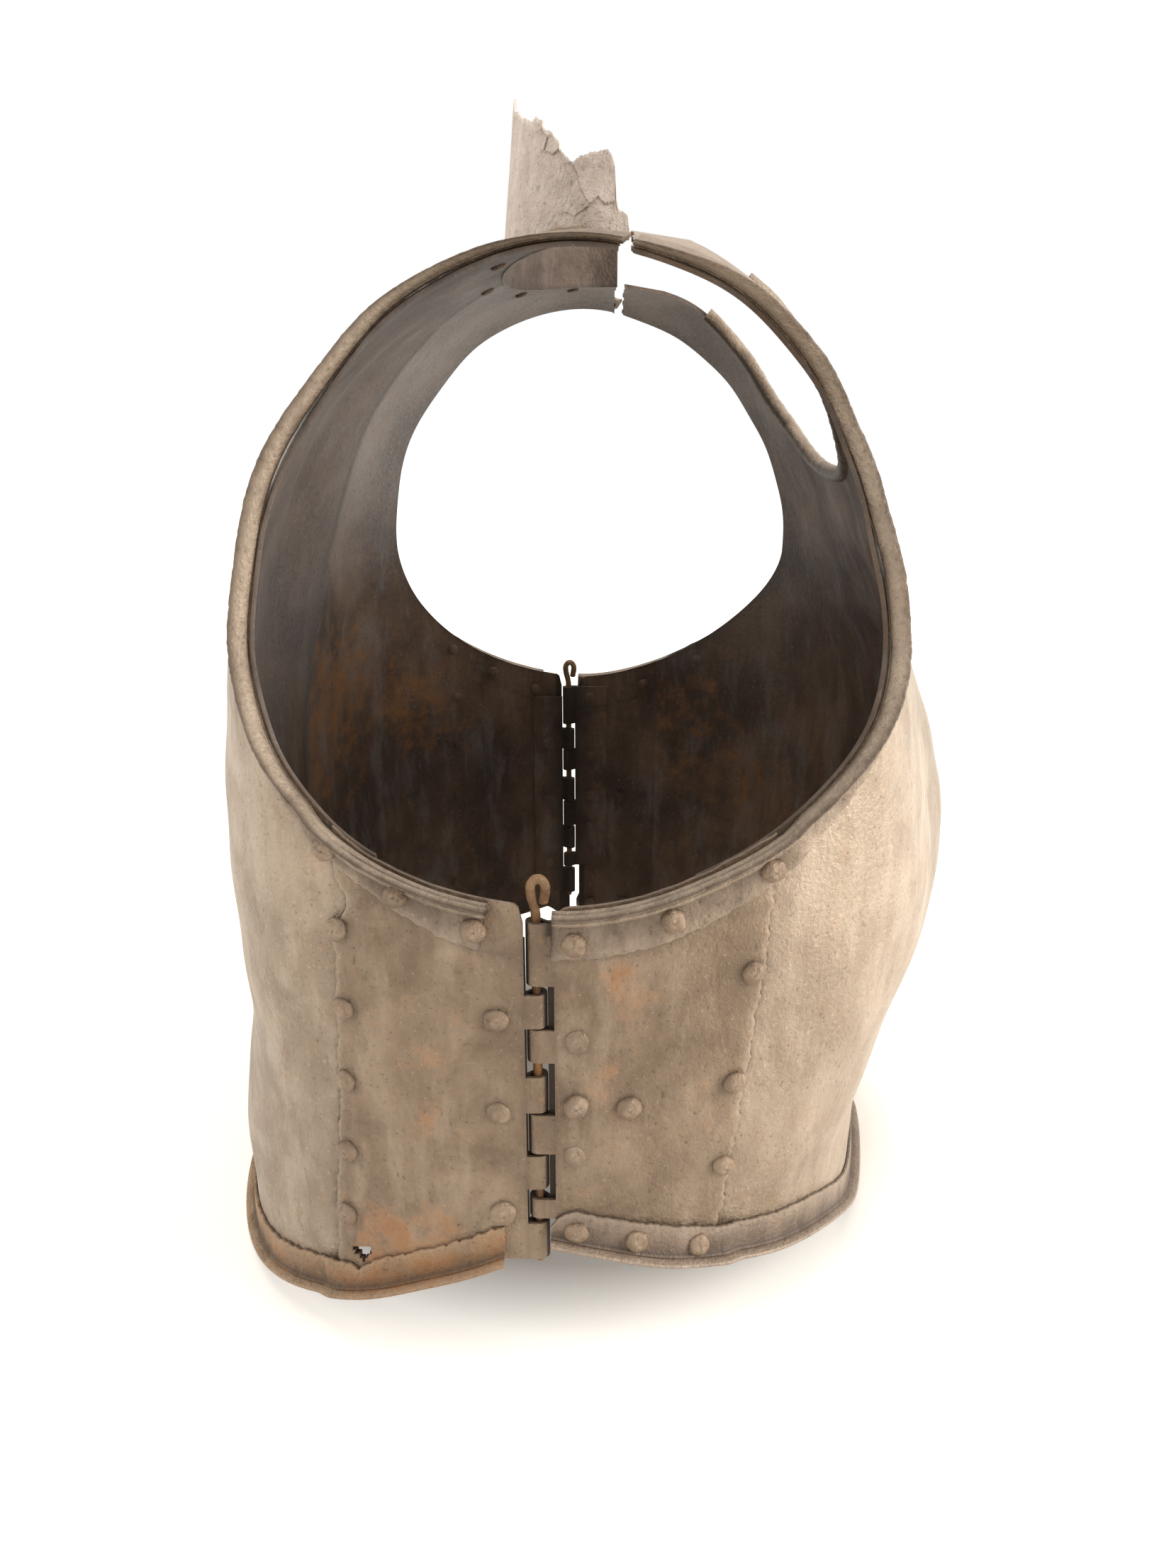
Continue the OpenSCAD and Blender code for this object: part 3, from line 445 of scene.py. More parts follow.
# The columns stand closer over the outer seventh, where the seam and the border lie
columns = np.arange(-HALF_COLS, HALF_COLS + 1)
side_of, columns = np.sign(columns), np.abs(columns)
f = np.interp(columns / HALF_COLS, [0, 0.55, 1], [0, 0.86, 1])
split = f[HALF_COLS + SPLIT_COL]
bands = [
    breast_low(f, np.linspace(0, 1, BREAST_ROWS[0] + 1)[:, None], side_of),
    breast_high(f, np.linspace(0, 1, BREAST_ROWS[1] + 1)[1:, None], split),
    strap(np.clip((f - split) / (1 - split), 0, 1), np.linspace(0, 1, BREAST_ROWS[2] + 1)[1:, None]),
]
breast_a = side_of * np.concatenate([a for a, z in bands])
breast_z = np.concatenate([z for a, z in bands])
# Between the straps there is no metal
cells = np.ones((len(breast_a) - 1, 2 * HALF_COLS), bool)
cells[BREAST_ROWS[0] + BREAST_ROWS[1]:, np.minimum(columns[:-1], columns[1:]) < SPLIT_COL] = False
outer = proud(breast_a, breast_z, 0)
points, quads, side = shell(outer, proud(breast_a, breast_z, -PLATE_T), cells)
# Inside, orange rust low on both halves, and bare grey metal up on the left strap
seared = blotches(breast_a, breast_z, [(68, 165, 14, 34, 0.6), (50, 118, 16, 30, 0.5),
                                       (-60, 120, 20, 40, 0.5)])
greyed = blotches(breast_a, breast_z, [(60, 370, 40, 80, 0.8), (48, 250, 14, 60, 0.4)])
clean = np.zeros(breast_a.size)
# Outside, pale strokes down the belly's flanks: rubbed metal and a painted sheen
stroke = 0.5 + 0.5 * ripple(1.1 * breast_a, 2.3 * breast_a + 0.02 * breast_z,
                            0.13 * breast_z + 0.5 * breast_a)
rubbing_and_sheen = blotches(np.abs(breast_a), breast_z, [(46, 185, 12, 60, 0.6), (30, 120, 16, 50, 0.3)]) * stroke
breast = put("breast_sheet", "front", points, quads, INSIDE, which=side, rust=np.append(clean, seared),
             dirt_and_shade=np.append(*shaded(outer, front_seam)), wear_and_sheen=np.append(rubbing_and_sheen, greyed))
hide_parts("front_plate")

# The back
# A second sheet like the first, flatter, with a low ridge down the spine and the nape cut almost level.
# It is beaten from one piece and carries the nape strip and the collar.
BACK_ROWS = (80, 130)
NAPE_DROP, BACK_UNDER = 6.3, SEAM_Y - LAP_W
BACK_START = arm_turn(BACK_UNDER, False)
BACK_END = 180 - arm_turn(2 * ARM_Y + LEAN, True)
# A crease inside the left half, drawn only as a painted shadow line: heights, and turns to the left of the
# spine
CREASE_Z = (60, 192, 242, 273, 314, 340, 364, 384)
CREASE_TURN = (14, 17, 22, 24, 21, 19, 14, 2)


def neck_back(t):
    """Turn and height on the nape's edge: 0 degrees at the spine, 90 on the left shoulder."""
    t = np.radians(t)
    z = NECK_TOP - NAPE_DROP * np.cos(t) ** 2
    half, front, back, middle, n = form(z)
    p = np.minimum(NECK_HALF * np.sin(t) / half, 0.99999)
    return 180 - np.degrees(np.arctan2(p, (1 - p ** n) ** (1 / n))), z


def back_low(f, t, side):
    """The back under the armholes: f goes from the spine to the hidden edge, t up from the waist, and side is
    -1 on the left half and 1 on the right one."""
    z1 = armhole(BACK_START)[1]
    z = mix(skirt(180 + side * f * (180 - place(BACK_UNDER, z1))) + LIP_H, z1, t)
    return 180 - f * (180 - place(BACK_UNDER, z)), z


def back_high(f, t, split):
    """The back between the armholes, up to the nape's edge and the shoulders."""
    a1, z1 = armhole(mix(BACK_START, BACK_END, t))
    low, (end_a, end_z) = armhole(BACK_START)[1], armhole(BACK_END)
    nape_a, nape_z = neck_back(np.minimum(90 * f / split, 90))
    s = np.clip((f - split) / (1 - split), 0, 1)
    top_a = np.where(f <= split, nape_a, mix(neck_back(90)[0], end_a, s))
    top_z = np.where(f <= split, nape_z, mix(neck_back(90)[1], end_z, s))
    k = mix(mix(np.sin(np.pi / 2 * t), t, 0.3), (z1 - low) / (end_z - low), f * f)
    z = np.where(f == 1, z1, mix(low, top_z, k))
    a = 180 - (180 - a1) * mix(f, (180 - top_a) / (180 - end_a), t)
    return shoulder_stop(a, z, -LEAN + SHOULDER_GAP / 2 + torn(1 - s), 1), z


def corroded(p, y, z, size):
    """True where a point on the right side falls in a hole that rust has eaten, with a torn outline."""
    turn = np.arctan2(p[..., 2] - z, p[..., 1] - y)
    edge = size * (1 + 0.28 * np.sin(3 * turn + 0.4) + 0.2 * np.sin(5 * turn + 2) + 0.12 * np.sin(11 * turn))
    return (np.hypot(p[..., 1] - y, p[..., 2] - z) < edge) & (p[..., 0] < 0)


def back_seam(z):
    """How far the edge of a back side plate lies from the hinge plane: 75 mm at its foot and 66 mm at the
    armhole, a straight cut with a ragged line and a nick near its top."""
    kink = 3.5 * np.exp(-((z - 180) / 7) ** 2) - 1.5 * np.exp(-((z - 168) / 5) ** 2)
    wander = 0.8 * ripple(0.23 * z, 0.57 * z + 1, 1.4 * z + np.sin(0.3 * z))
    return 66 + 9 * np.clip((175 - z) / 120, 0, 1) + wander - kink


# The eaten hole beside the strip on the right: its place and size
EATEN = (66.0, 39.0, 3.0)
bands = [
    back_low(f, np.linspace(0, 1, BACK_ROWS[0] + 1)[:, None], side_of),
    back_high(f, np.linspace(0, 1, BACK_ROWS[1] + 1)[1:, None], split),
]
back_a = 180 + side_of * (180 - np.concatenate([a for a, z in bands]))
back_z = np.concatenate([z for a, z in bands])
outer = proud(back_a, back_z, 0)
cells = ~corroded((outer[:-1, :-1] + outer[1:, 1:]) / 2, *EATEN)
points, quads, side = shell(outer, proud(back_a, back_z, -PLATE_T), cells)
# Inside, orange and olive rust, most of it on the left half, a cool bloom over both, painted shade over the
# right half above its foot, out to the crease, and a painted shadow line along the crease
crease = 180 - np.interp(back_z, CREASE_Z, CREASE_TURN)
near_half = ease((back_a - crease) / 2 + 0.5)
seared = blotches(back_a, back_z, [(152, 200, 14, 40, 0.8), (128, 170, 14, 30, 0.7),
                                   (160, 130, 12, 40, 0.6), (200, 110, 20, 50, 0.4)])
greyed = 0.85 * (1 - near_half) * ease((back_z - 225) / 80) + 0.38 * near_half * ease((back_z - 150) / 100)
painted_shade = 0.5 * near_half * ease((back_z - 90) / 60) + 0.6 * np.exp(-np.abs(back_a - crease - 1.5) / 1.1)
clean = np.zeros(back_a.size)
outside_shade_and_dirt, edge_dirt = shaded(outer, back_seam)
back = put("back_sheet", "back", points, quads, INSIDE, which=side, rust=np.append(clean, seared),
           dirt_and_shade=np.append(outside_shade_and_dirt, np.maximum(painted_shade.ravel(), edge_dirt)),
           wear_and_sheen=np.append(clean, greyed))
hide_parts("back_plate")

# The side plates
# Four sheets riveted over the edges of breast and back. Towards the hinge each is cut into tabs, rolled round
# the pin into knuckles and folded back as one leaf behind the plate, where the hinge rivets clench it.
SIDE_T, LAP_GAP = 1.5, 0.3
KNUCKLE_R, BORE_R, LEAF_W, LEAF_IN = 3.5, 1.75, 17.0, 0.7
KNUCKLE_X = SIDE_X + LAP_GAP + SIDE_T - KNUCKLE_R
LEAF_X = SIDE_X + LAP_GAP - LEAF_IN
# The same iron, handled less: a little duller than the plates, with more freckles of rust
side_plate = iron("freckled_brown_iron", "#937f69", "#b3a08a", "#766350", "#ae8460", 0.5, streak=0.25,
                  rust_share=0.15, pit=0.5)
# How far the plates' hinge edges, and the leaf's bend, lie from the pin, and how high the leaf reaches
BACK_EDGE, FRONT_EDGE, LEAF_Y, LEAF_TOP_Z = 4.1, 5.8, KNUCKLE_R + 0.25, 170
# What a border's flat leg gains at the hinge, and the columns of a plate's grid
BORDER_END_W, PLATE_COLS = 9.0, 56
# Heights of the knuckles, and places of the rivets
FRONT_KNUCKLES = [(62, 69.7), (88.6, 104), (124.6, 137), (153.5, 176)]
BACK_KNUCKLES = [(44.6, 59.6), (74, 87.4), (105, 118.8), (137.6, 150)]
SEAM_RIVETS = {"back": [(66, 171), (66, 141), (67.5, 111), (69, 81), (70.5, 54)],
               "front": [(-72, 156), (-67, 114), (-64.5, 79)]}
HINGE_RIVETS = {"back": [(13.5, 141), (13.5, 105), (12.8, 64)],
                "front": [(-13.5, 133), (-13, 108), (-31, 107), (-12.4, 88)]}
# Orange patches on the side plates: place, radius and strength
PATCHES = [(40, 128, 6, 0.7), (39, 98, 7, 0.7), (52, 48, 14, 1.1), (32, 43, 13, 1.1), (62, 42, 7, 0.9),
           (-27, 158, 7, 0.65), (-38, 150, 8, 0.7), (-30, 140, 6, 0.6), (-22, 122, 5, 0.5),
           (-20, 110, 5, 0.8)]


def near(p, centres, radius, spread):
    """1 on a ring of that radius round the nearest of the centres, fading over the spread."""
    y, z = np.moveaxis(p[..., 1:], -1, 0)
    d = np.min([np.hypot(y - cy, z - cz) for cy, cz in centres], axis=0)
    return np.exp(-((d - radius) / spread) ** 2)


def stained(p, patches):
    """How rusty each point is: the sum of round patches, given as place, radius and strength."""
    y, z = np.moveaxis(p[..., 1:], -1, 0)
    return sum(s * np.exp(-((y - py) ** 2 + (z - pz) ** 2) / r ** 2) for py, pz, r, s in patches)


def border_width(y):
    """Width of the armhole border's flat leg along the lower edge of the hole: it grows to twice as wide
    towards the hinge, over 130 mm in front and 60 mm behind."""
    return BORDER_W + BORDER_END_W * (1 - ease((np.abs(y) - 8) / np.where(y < 0, 130, 60)))


def plate_dirt_and_shade(p, half, edge, outside):
    """Dirt and painted shade on a side plate, in this order: a darker ring round each rivet, a painted shadow
    line along the border's leg, dirt on the hole's edge, painted shade in the valley between the top front
    knuckle and the border's end, a pinhole over the front strip painted dark, darker metal low in front, and
    painted shade on the slots' walls, on what shows of the leaf behind them, on the roll past the pin, and in
    a line where the roll begins."""
    x, y, z = np.moveaxis(p, -1, 0)
    off, hole = np.abs(y), from_armhole(p)
    inward = y if half == "back" else -y
    return np.max([
        0.28 * near(p, SEAM_RIVETS[half] + HINGE_RIVETS[half], 4.6, 1.1),
        0.4 * np.exp(-np.abs(hole - border_width(y) - 0.8) / 0.7) * (off > edge + 3),
        0.7 * np.exp(-hole / 1.5) * (off > 15),
        0.85 * ((y < -3.5) & (y > -6.2) & (z > 172)),
        0.95 * np.exp(-(np.hypot(y + 55.7, z - 55.5) / 1.2) ** 2),
        0.14 * (y < 0) * ease((110 - z) / 50),
        0.95 * (~outside & (off < edge + 3)),
        0.95 * ((x < LEAF_X + 0.1) & (off < edge + 6)),
        0.95 * (inward < -2.4),
        0.25 * np.exp(-np.abs(off - edge) / 1.2) * (x > KNUCKLE_X)], axis=0)


def side_sheet(half, edge, knuckles, seam, low, top, right):
    """A side plate as one strip of metal for each height: from the seam over the form to the hinge edge, and
    between the slots on over the tab, round the pin and back along the leaf."""
    s = 1 if half == "back" else -1
    marks = sorted({float(low(s * edge)), float(top(s * edge))} | {v for k in knuckles for v in k})
    z0 = np.concatenate([np.linspace(u, v, max(2, int((v - u) / 1.2)), endpoint=False)
                         for u, v in zip(marks, marks[1:])] + [[marks[-1]]])
    share = (z0 - z0[0]) / (z0[-1] - z0[0])
    # The columns stand closer towards the ragged edge, whose last millimetre is worn round
    columns = 1 - np.linspace(0, 1, PLATE_COLS) ** 1.3
    y = mix(s * edge, seam(mix(50, 190, share))[:, None], columns)
    z = mix(low(y), top(y), share[:, None])
    y = mix(s * edge, seam(z), columns)
    # The tabs widen to the plate in small round corners
    ends = [(u, -1) for u, v in knuckles if u > z0[0] + 1] + [(v, 1) for u, v in knuckles if v < z0[-1] - 1]
    run = np.clip(1 - (np.abs(y) - edge) / 2.0, 0, 1)
    for level, way in ends:
        z = z + way * 1.4 * quarter(1 - run) * (run > 0) * np.exp(-((z - level) / 2.5) ** 2)
    a = place(y, z)
    worn = 0.6 * np.exp(-np.abs(y - seam(z)) / 0.8)
    outer, inner = proud(a, z, LAP_GAP + SIDE_T - worn), proud(a, z, LAP_GAP)
    # Tab, roll and leaf seen from above. The leaf starts nearer the pin than the plate ends, which closes the
    # slots from behind
    tab = np.linspace(edge, 0, 4)[1:]
    turn = np.radians(np.linspace(0, 180, 15))[1:]
    rolled = []
    for tab_x, r, leaf_x in ((KNUCKLE_X + KNUCKLE_R, KNUCKLE_R, LEAF_X - SIDE_T),
                             (KNUCKLE_X + KNUCKLE_R - SIDE_T, BORE_R, LEAF_X)):
        x = np.concatenate([0 * tab + tab_x, KNUCKLE_X + r * np.cos(turn), [leaf_x] * 3])
        aside = np.concatenate([tab, -r * np.sin(turn), [LEAF_Y, edge + 9, edge + LEAF_W]])
        rolled.append(np.stack(np.broadcast_arrays(x, s * aside, z0[:, None]), -1))
    outer, inner = np.concatenate([outer, rolled[0]], 1), np.concatenate([inner, rolled[1]], 1)
    # Which parts exist at each height
    middle = (z0[:-1] + z0[1:]) / 2
    tab_col, roll_col = PLATE_COLS - 1, PLATE_COLS - 1 + len(tab)
    leaf_col = roll_col + 1 + len(turn)
    cells = np.ones((len(z0) - 1, outer.shape[1] - 1), bool)
    cells[:, tab_col:leaf_col] = np.any([(middle > u) & (middle < v) for u, v in knuckles], axis=0)[:, None]
    cells[:, leaf_col:] = ((middle > knuckles[0][0]) & (middle < max(knuckles[-1][1], LEAF_TOP_Z)))[:, None]
    # Behind the left hinge the corner under the lowest knuckle reaches on to the pin's line
    if half == "back" and not right:
        cells[:, tab_col:roll_col] |= (middle < knuckles[0][0])[:, None]
    if half == "back" and right:
        cells &= ~corroded((outer[:-1, :-1] + outer[1:, 1:]) / 2 * [-1, 1, 1], *EATEN)
    if half == "front":
        outer, inner, cells = outer[:, ::-1], inner[:, ::-1], cells[:, ::-1]
    points, quads, side = shell(outer[:, ::-1], inner[:, ::-1], cells[:, ::-1])
    # The leaf, and the half of each roll that faces in, have the scale of the inside
    x, y = np.moveaxis(points[quads].mean(1)[:, :2], -1, 0)
    behind = (x < LEAF_X + 0.1) & (np.abs(y) < edge + LEAF_W + 0.1)
    side = np.where(behind & ((np.abs(y) > LEAF_Y) | (x < KNUCKLE_X)), 1, side)
    outside = np.arange(len(points)) < len(points) / 2
    edge_wear = 0.6 * np.exp(-np.abs(np.abs(points[:, 1]) - np.abs(seam(points[:, 2]))) / 1.2)
    word = "right" if right else "left"
    made = put(f"{half}_side_sheet_{word}", half, points, quads, [side_plate, scaled_inside, side_plate],
               which=side, rust=stained(points, PATCHES) * outside,
               dirt_and_shade=plate_dirt_and_shade(points, half, edge, outside), wear_and_sheen=edge_wear * outside, right=right)
    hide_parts(f"{half}_side_plate_{word}")


def corner_top(y, edge, wide, tall):
    """The lower edge of the armhole, with the plate's corner beside the hinge rounded off."""
    inset = np.clip(1 - (np.abs(y) - edge) / wide, 0, 1)
    return arm_low_z(y) - tall * quarter(inset)


for right in (True, False):
    side_sheet("back", BACK_EDGE, BACK_KNUCKLES, back_seam,
               lambda y: np.minimum(BACK_KNUCKLES[0][0], lip_back(y, not right) + LIP_H
                                    - 9 * (not right) * (1 - ease((y - 4) / 12))),
               lambda y: corner_top(y, BACK_EDGE, 3, 6.7), right)
    side_sheet("front", FRONT_EDGE, FRONT_KNUCKLES, front_seam,
               lambda y: lip_front(y, SIDE_X, not right) + LIP_H,
               lambda y: corner_top(y, FRONT_EDGE, 6, 5.5), right)

# The armhole borders
# An angled strip along each half of each hole. Its free leg is turned out level and swaged with two flutes
# below, which run out into one smooth bead above. Rivets hold its flat leg, which widens towards the hinge.
STRIP_T, BORDER_H, FLUTES, FACE_POINTS = 1.3, 7.4, 2, 31
SEAT_LOW, SEAT_HIGH = LAP_GAP, 2 * LAP_GAP + SIDE_T
# Thin strip under a grey brown patina: finely mottled, rubbed satin on its crowns and dark in its grooves,
# with dirt and painted shade
border_metal = iron("rubbed_brown_border", "#907d6a", "#b4a491", "#716151", "#a07c5c", 0.5, mottle_mm=9.0,
                    streak=0.2, rust_share=0.08, pit=0.5)
# The flat leg's bead and the corner between the legs, in from the hole's edge
BEAD_IN, BEAD_W, CORNER_IN, CORNER_R = 6.6, 3.0, 2.4, 1.2


def moved(a, z, heading, w):
    """The place w along the form from turn a and height z, square to a line with that heading."""
    along, up, out = slopes(a, z)
    b = np.cross(heading, out)
    e, g, h = (along * along).sum(-1), (along * up).sum(-1), (up * up).sum(-1)
    i, j, k = (b * along).sum(-1), (b * up).sum(-1), e * h - g * g
    return a + w * (h * i - g * j) / k, z + w * (e * j - g * i) / k


def swept(rings):
    """The quads of a closed section carried through rows of points, with a fan of quads closing each end."""
    m, n = rings.shape[:2]
    grid = np.arange(m * n).reshape(m, n)
    grid = np.concatenate([grid, grid[:, :1]], 1)
    quads = faces_of(grid, np.ones((m - 1, n), bool))
    k = np.arange(1, n // 2)
    cap = np.stack([k - 1, k, n - 1 - k, (n - k) % n], -1)
    return np.concatenate([quads[:, ::-1], cap[:, ::-1], cap + (m - 1) * n])


def seat(y, seam):
    """Height of a strip over the form: high on a side plate, low past its seam."""
    return mix(SEAT_HIGH, SEAT_LOW, ease((np.abs(y) - np.abs(seam) - 1) / 8))


def level_out(a, z):
    """The outward direction of the form at turn a and height z, without its rise."""
    return unit(slopes(a, z)[2] * [1, 1, 0])


def border_section(w, s, h, fluted):
    """Section of a border as distance in from the hole's edge and height over the form: the flat leg of
    width w, a round corner, and a leg of height h, whose face runs round the free edge. Where fluted is 1 the
    face is a row of arches and the flat leg has a bead, and where it is 0 the face is one arch."""
    bend = np.radians([0, 30, 60, 90])
    flat = [(w, s), (w + 0.1, s + 0.7 * STRIP_T), (w - 0.4, s + STRIP_T), (mix(w, BEAD_IN, 0.5), s + STRIP_T)]
    bead = [(BEAD_IN - BEAD_W * v, s + STRIP_T + fluted * np.sin(np.pi * v) ** 0.8)
            for v in (0.01, 0.25, 0.5, 0.75, 0.99)]
    corner = [(CORNER_IN + CORNER_R * (1 - np.sin(t)), s + STRIP_T + CORNER_R * (1 - np.cos(t)))
              for t in bend]
    edge = [(2.4, s + 0.55 * h), (2.3, s + h - 0.9), (1.9, s + h - 0.2)]
    u = np.linspace(1, 0, FACE_POINTS)
    rows = np.abs(np.sin(FLUTES * np.pi * u)) ** 0.7
    arches = mix(np.sin(np.pi * u) ** 0.6, rows, np.reshape(fluted, (-1, 1)))
    face = [(1.3 - 1.15 * arches[:, k], s + 0.3 + (h - 0.45) * v) for k, v in enumerate(u)]
    points = flat + bead + corner + edge + face + [(1.0, s)]
    return np.array(np.broadcast_arrays(*[v for p in points for v in p])).T


def border(half, t0, t1, stations, right):
    """A border along its stretch of the hole. Its edges are nibbled by rust and its height wanders."""
    t = np.linspace(t0, t1, stations)
    a, z = armhole(t)
    heading = unit(skin(*armhole(t + 0.5)) - skin(*armhole(t - 0.5)))
    y, low = skin(a, z)[:, 1], z < ARM_Z
    seam = np.where(y > 0, back_seam(z), front_seam(z))
    s = np.where(low, seat(y, seam), SEAT_LOW)
    rag = 0.45 * ripple(1.9 * t, 3.1 * t + 1, 0.7 * t) + 0.3 * ripple(5.3 * t, 7.7 * t)
    w = np.where(low, border_width(y), BORDER_W) + rag
    h = BORDER_H + 0.1 * ripple(0.9 * t, 1.7 * t + 2) + 0.12 * ripple(4.1 * t, 6.3 * t)
    # The flutes run out this far from the hinge, over 25 mm
    run_out = ease((np.abs(y) - np.where(y > 0, 52, 66)) / 25)
    fluted = np.where(low, 1 - run_out, 0) * (0.9 + 0.1 * ripple(0.8 * t, 2.1 * t))
    q = np.swapaxes(border_section(w, s, h, fluted).reshape(stations, -1, 2), 0, 1)
    top = s + STRIP_T
    level = level_out(a, z)
    rings = np.stack([proud(*moved(a, z, heading, w), np.minimum(h, top))
                      + np.maximum(h - top, 0)[:, None] * level for w, h in zip(q[..., 0], q[..., 1])], 1)
    nib = 0.07 * ripple(rings[..., 0] * 0.9, rings[..., 1] * 1.1 + 1, rings[..., 2] + 2)
    rings = rings + nib[..., None] * slopes(a, z)[2][:, None]
    # Dirt and painted shade lie between the flutes, along the corner and at the bead's foot. Their crowns and
    # the flat leg's edge are rubbed. The numbers are places in the section
    u = np.linspace(1, 0, FACE_POINTS)
    arch = mix(np.sin(np.pi * u), np.abs(np.sin(FLUTES * np.pi * u)), fluted[:, None])
    n = rings.shape[1]
    shade_and_dirt, bare = np.zeros((stations, n)), np.zeros((stations, n))
    face = slice(n - 1 - FACE_POINTS, n - 1)
    shade_and_dirt[:, face] = 0.7 * np.clip(1 - arch * 1.9, 0, 1)
    shade_and_dirt[:, 9:12] = 0.55
    shade_and_dirt[:, 4] = 0.4 * fluted
    bare[:, face] = 0.7 * np.clip(arch * 1.6 - 0.8, 0, 1)
    bare[:, [1, 2]] = 0.4
    bare[:, 6] = 0.6 * fluted
    # The end at the hinge is painted dark with shade
    hinge_end = t0 if half == "back" else t1
    shade_and_dirt = np.maximum(shade_and_dirt, 0.9 * np.exp(-np.abs(t - hinge_end) / 0.5)[:, None])
    word = "right" if right else "left"
    made = put(f"{half}_arm_border_{word}", half, rings.reshape(-1, 3), swept(rings), [border_metal],
               dirt_and_shade=shade_and_dirt.ravel(), wear_and_sheen=bare.ravel(), right=right)
    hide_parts(f"{half}_armhole_border_{word}")


for right in (True, False):
    border("back", arm_turn(15.0, False), BACK_END - 1, 260, right)
    border("front", FRONT_END + 1, 360 + arm_turn(-5.5, False), 250, right)

# The neck rim
# The neck's edge in front, rolled outwards into a thin tube that ends just short of the shoulders.
# It is part of the breast's own metal, rubbed on its crown.
RIM_R, RIM_TURN = 3.2, 84.0


def neck_edge(t, curve):
    """Turn and height along a neck curve from the right shoulder, -90, to the left one, 90."""
    a, z = curve(np.abs(t))
    return (np.sign(t) * a if curve is neck_front else np.where(t < 0, 360 - a, a)), z


def heading_of(t, curve, step=0.5):
    """The unit direction of a neck curve."""
    return unit(skin(*neck_edge(t + step, curve)) - skin(*neck_edge(t - step, curve)))


t = np.linspace(-RIM_TURN, RIM_TURN, 180)
a, z = neck_edge(t, neck_front)
out = slopes(a, z)[2]
inward = np.cross(heading_of(t, neck_front), out)
turn = np.radians(np.arange(0, 360, 22.5))
radius = RIM_R + 0.15 * ripple(t, 2.7 * t + 1)
rings = proud(a, z, -PLATE_T / 2)[:, None] + radius[:, None, None] * (
    (np.cos(turn) - 1)[:, None] * inward[:, None] + np.sin(turn)[:, None] * out[:, None])
# The tube's side that faces into the cuirass is painted dark as shade
rim = put("neck_roll", "front", rings.reshape(-1, 3), swept(rings), [border_metal],
          dirt_and_shade=np.tile(0.7 * (np.sin(turn) < -0.6), len(t)),
          wear_and_sheen=np.tile(0.6 * (np.sin(turn) > 0.5), len(t)))
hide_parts("front_neck_rim")

# The nape strip and the collar
# A strip with raised edges lies along the nape. Inside it stands what is left of a tall collar of thinner
# sheet, leaning in towards the neck. Its top is torn, and pale dust has bleached it.
NAPE_W, NAPE_TURN = 11.0, 80.0
t = np.linspace(-NAPE_TURN, NAPE_TURN, 200)
a, z = neck_edge(t, neck_back)
heading = -heading_of(t, neck_back)
# Its section with two beads, as distance in from the nape's edge and height
section = np.array([(NAPE_W, 0), (NAPE_W, 1.3), (9.5, 1.4), (6.4, 1.4), (5.6, 2.3), (4.8, 2.5), (4.1, 2.0),
                    (3.6, 1.4), (2.8, 1.6), (2.2, 2.6), (1.7, 3.1), (1.1, 2.9), (0.6, 2.1), (0.6, 0)])
ragged = 0.35 * ripple(0.9 * t, 2.3 * t + 1, 5 * t)
rings = np.stack([proud(*moved(a, z, heading, w + ragged), h + SEAT_LOW) for w, h in section], 1)
nape = put("nape_strip", "back", rings.reshape(-1, 3), swept(rings), [border_metal],
           dirt_and_shade=np.tile([0, 0, 0, 0.6, 0.2, 0, 0.4, 0.8, 0.6, 0, 0, 0, 0.4, 0], len(t)),
           wear_and_sheen=np.tile([0, 0.5, 0.3, 0, 0.5, 0.7, 0.2, 0, 0, 0.6, 0.8, 0.6, 0, 0], len(t)))
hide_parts("back_neck_border")

# Thin sheet whose oxide has turned to pale dust: chalky, warm white and pitted all over
pale_collar = iron("dusty_collar_iron", "#dbccc0", "#eae0d6", "#c0b1a5", "#c8ae96", 0.68, mottle_mm=7.0,
                   streak=0.05, rust_share=0.1, pit=0.9, metal=0.08)
# Its face towards the neck, painted a dark dull brown as the shade it stands in
collar_inside_shade = iron("shaded_brown_collar_inside", "#5f4f43", "#776960", "#43372f", "#6b4e34", 0.7, mottle_mm=10.0,
                     rust_share=0.12, pit=0.5, metal=0.08)
COLLAR_FOOT, COLLAR_T, COLLAR_IN = 2.0, 1.2, 0.6
# The torn top, as turns round the neck and heights: the wearer's right end, a notch, a tall spike, the nape
# and the torn end on the left
TORN = np.array([(-92, 1), (-91.6, 5.5), (-89.6, 7.2), (-89.3, 10), (-88.8, 22), (-87.6, 25.6), (-82, 25.2),
                 (-76.4, 24.5), (-72.4, 23), (-69, 26), (-66.6, 28), (-66.2, 30.3), (-61.5, 34.6),
                 (-60.4, 35), (-57.2, 36.6), (-56.6, 39), (-52, 41.6), (-48.9, 41), (-43, 44), (-38, 46),
                 (-34, 49), (-30, 51), (-27, 52), (-25.2, 56), (-24.4, 57.5), (-23.4, 53), (-18, 54),
                 (-6, 58), (4, 57), (10, 55), (16, 50), (22, 51), (26, 43), (30, 40), (36, 41), (41, 36),
                 (45, 28), (50, 22), (60, 19), (68, 17), (76, 18), (84, 16.5), (90, 17)])
t = np.linspace(TORN[0, 0], TORN[-1, 0], 520)
tall = np.interp(t, TORN[:, 0], TORN[:, 1]) + 0.45 * ripple(3.1 * t, 5.7 * t + 1, 1.3 * t)
share = np.linspace(0, 1, 90)[:, None]
a, z = neck_edge(np.clip(t, -90, 90), neck_back)
p = skin(a, z)
z = mix(-COLLAR_FOOT, tall, share)
across = unit(p[:, :2] - [0, -LEAN])
bulge = 0.5 * ripple(0.09 * t + 0.05 * z, 0.21 * t + 1, 0.13 * z + 0.05 * t)


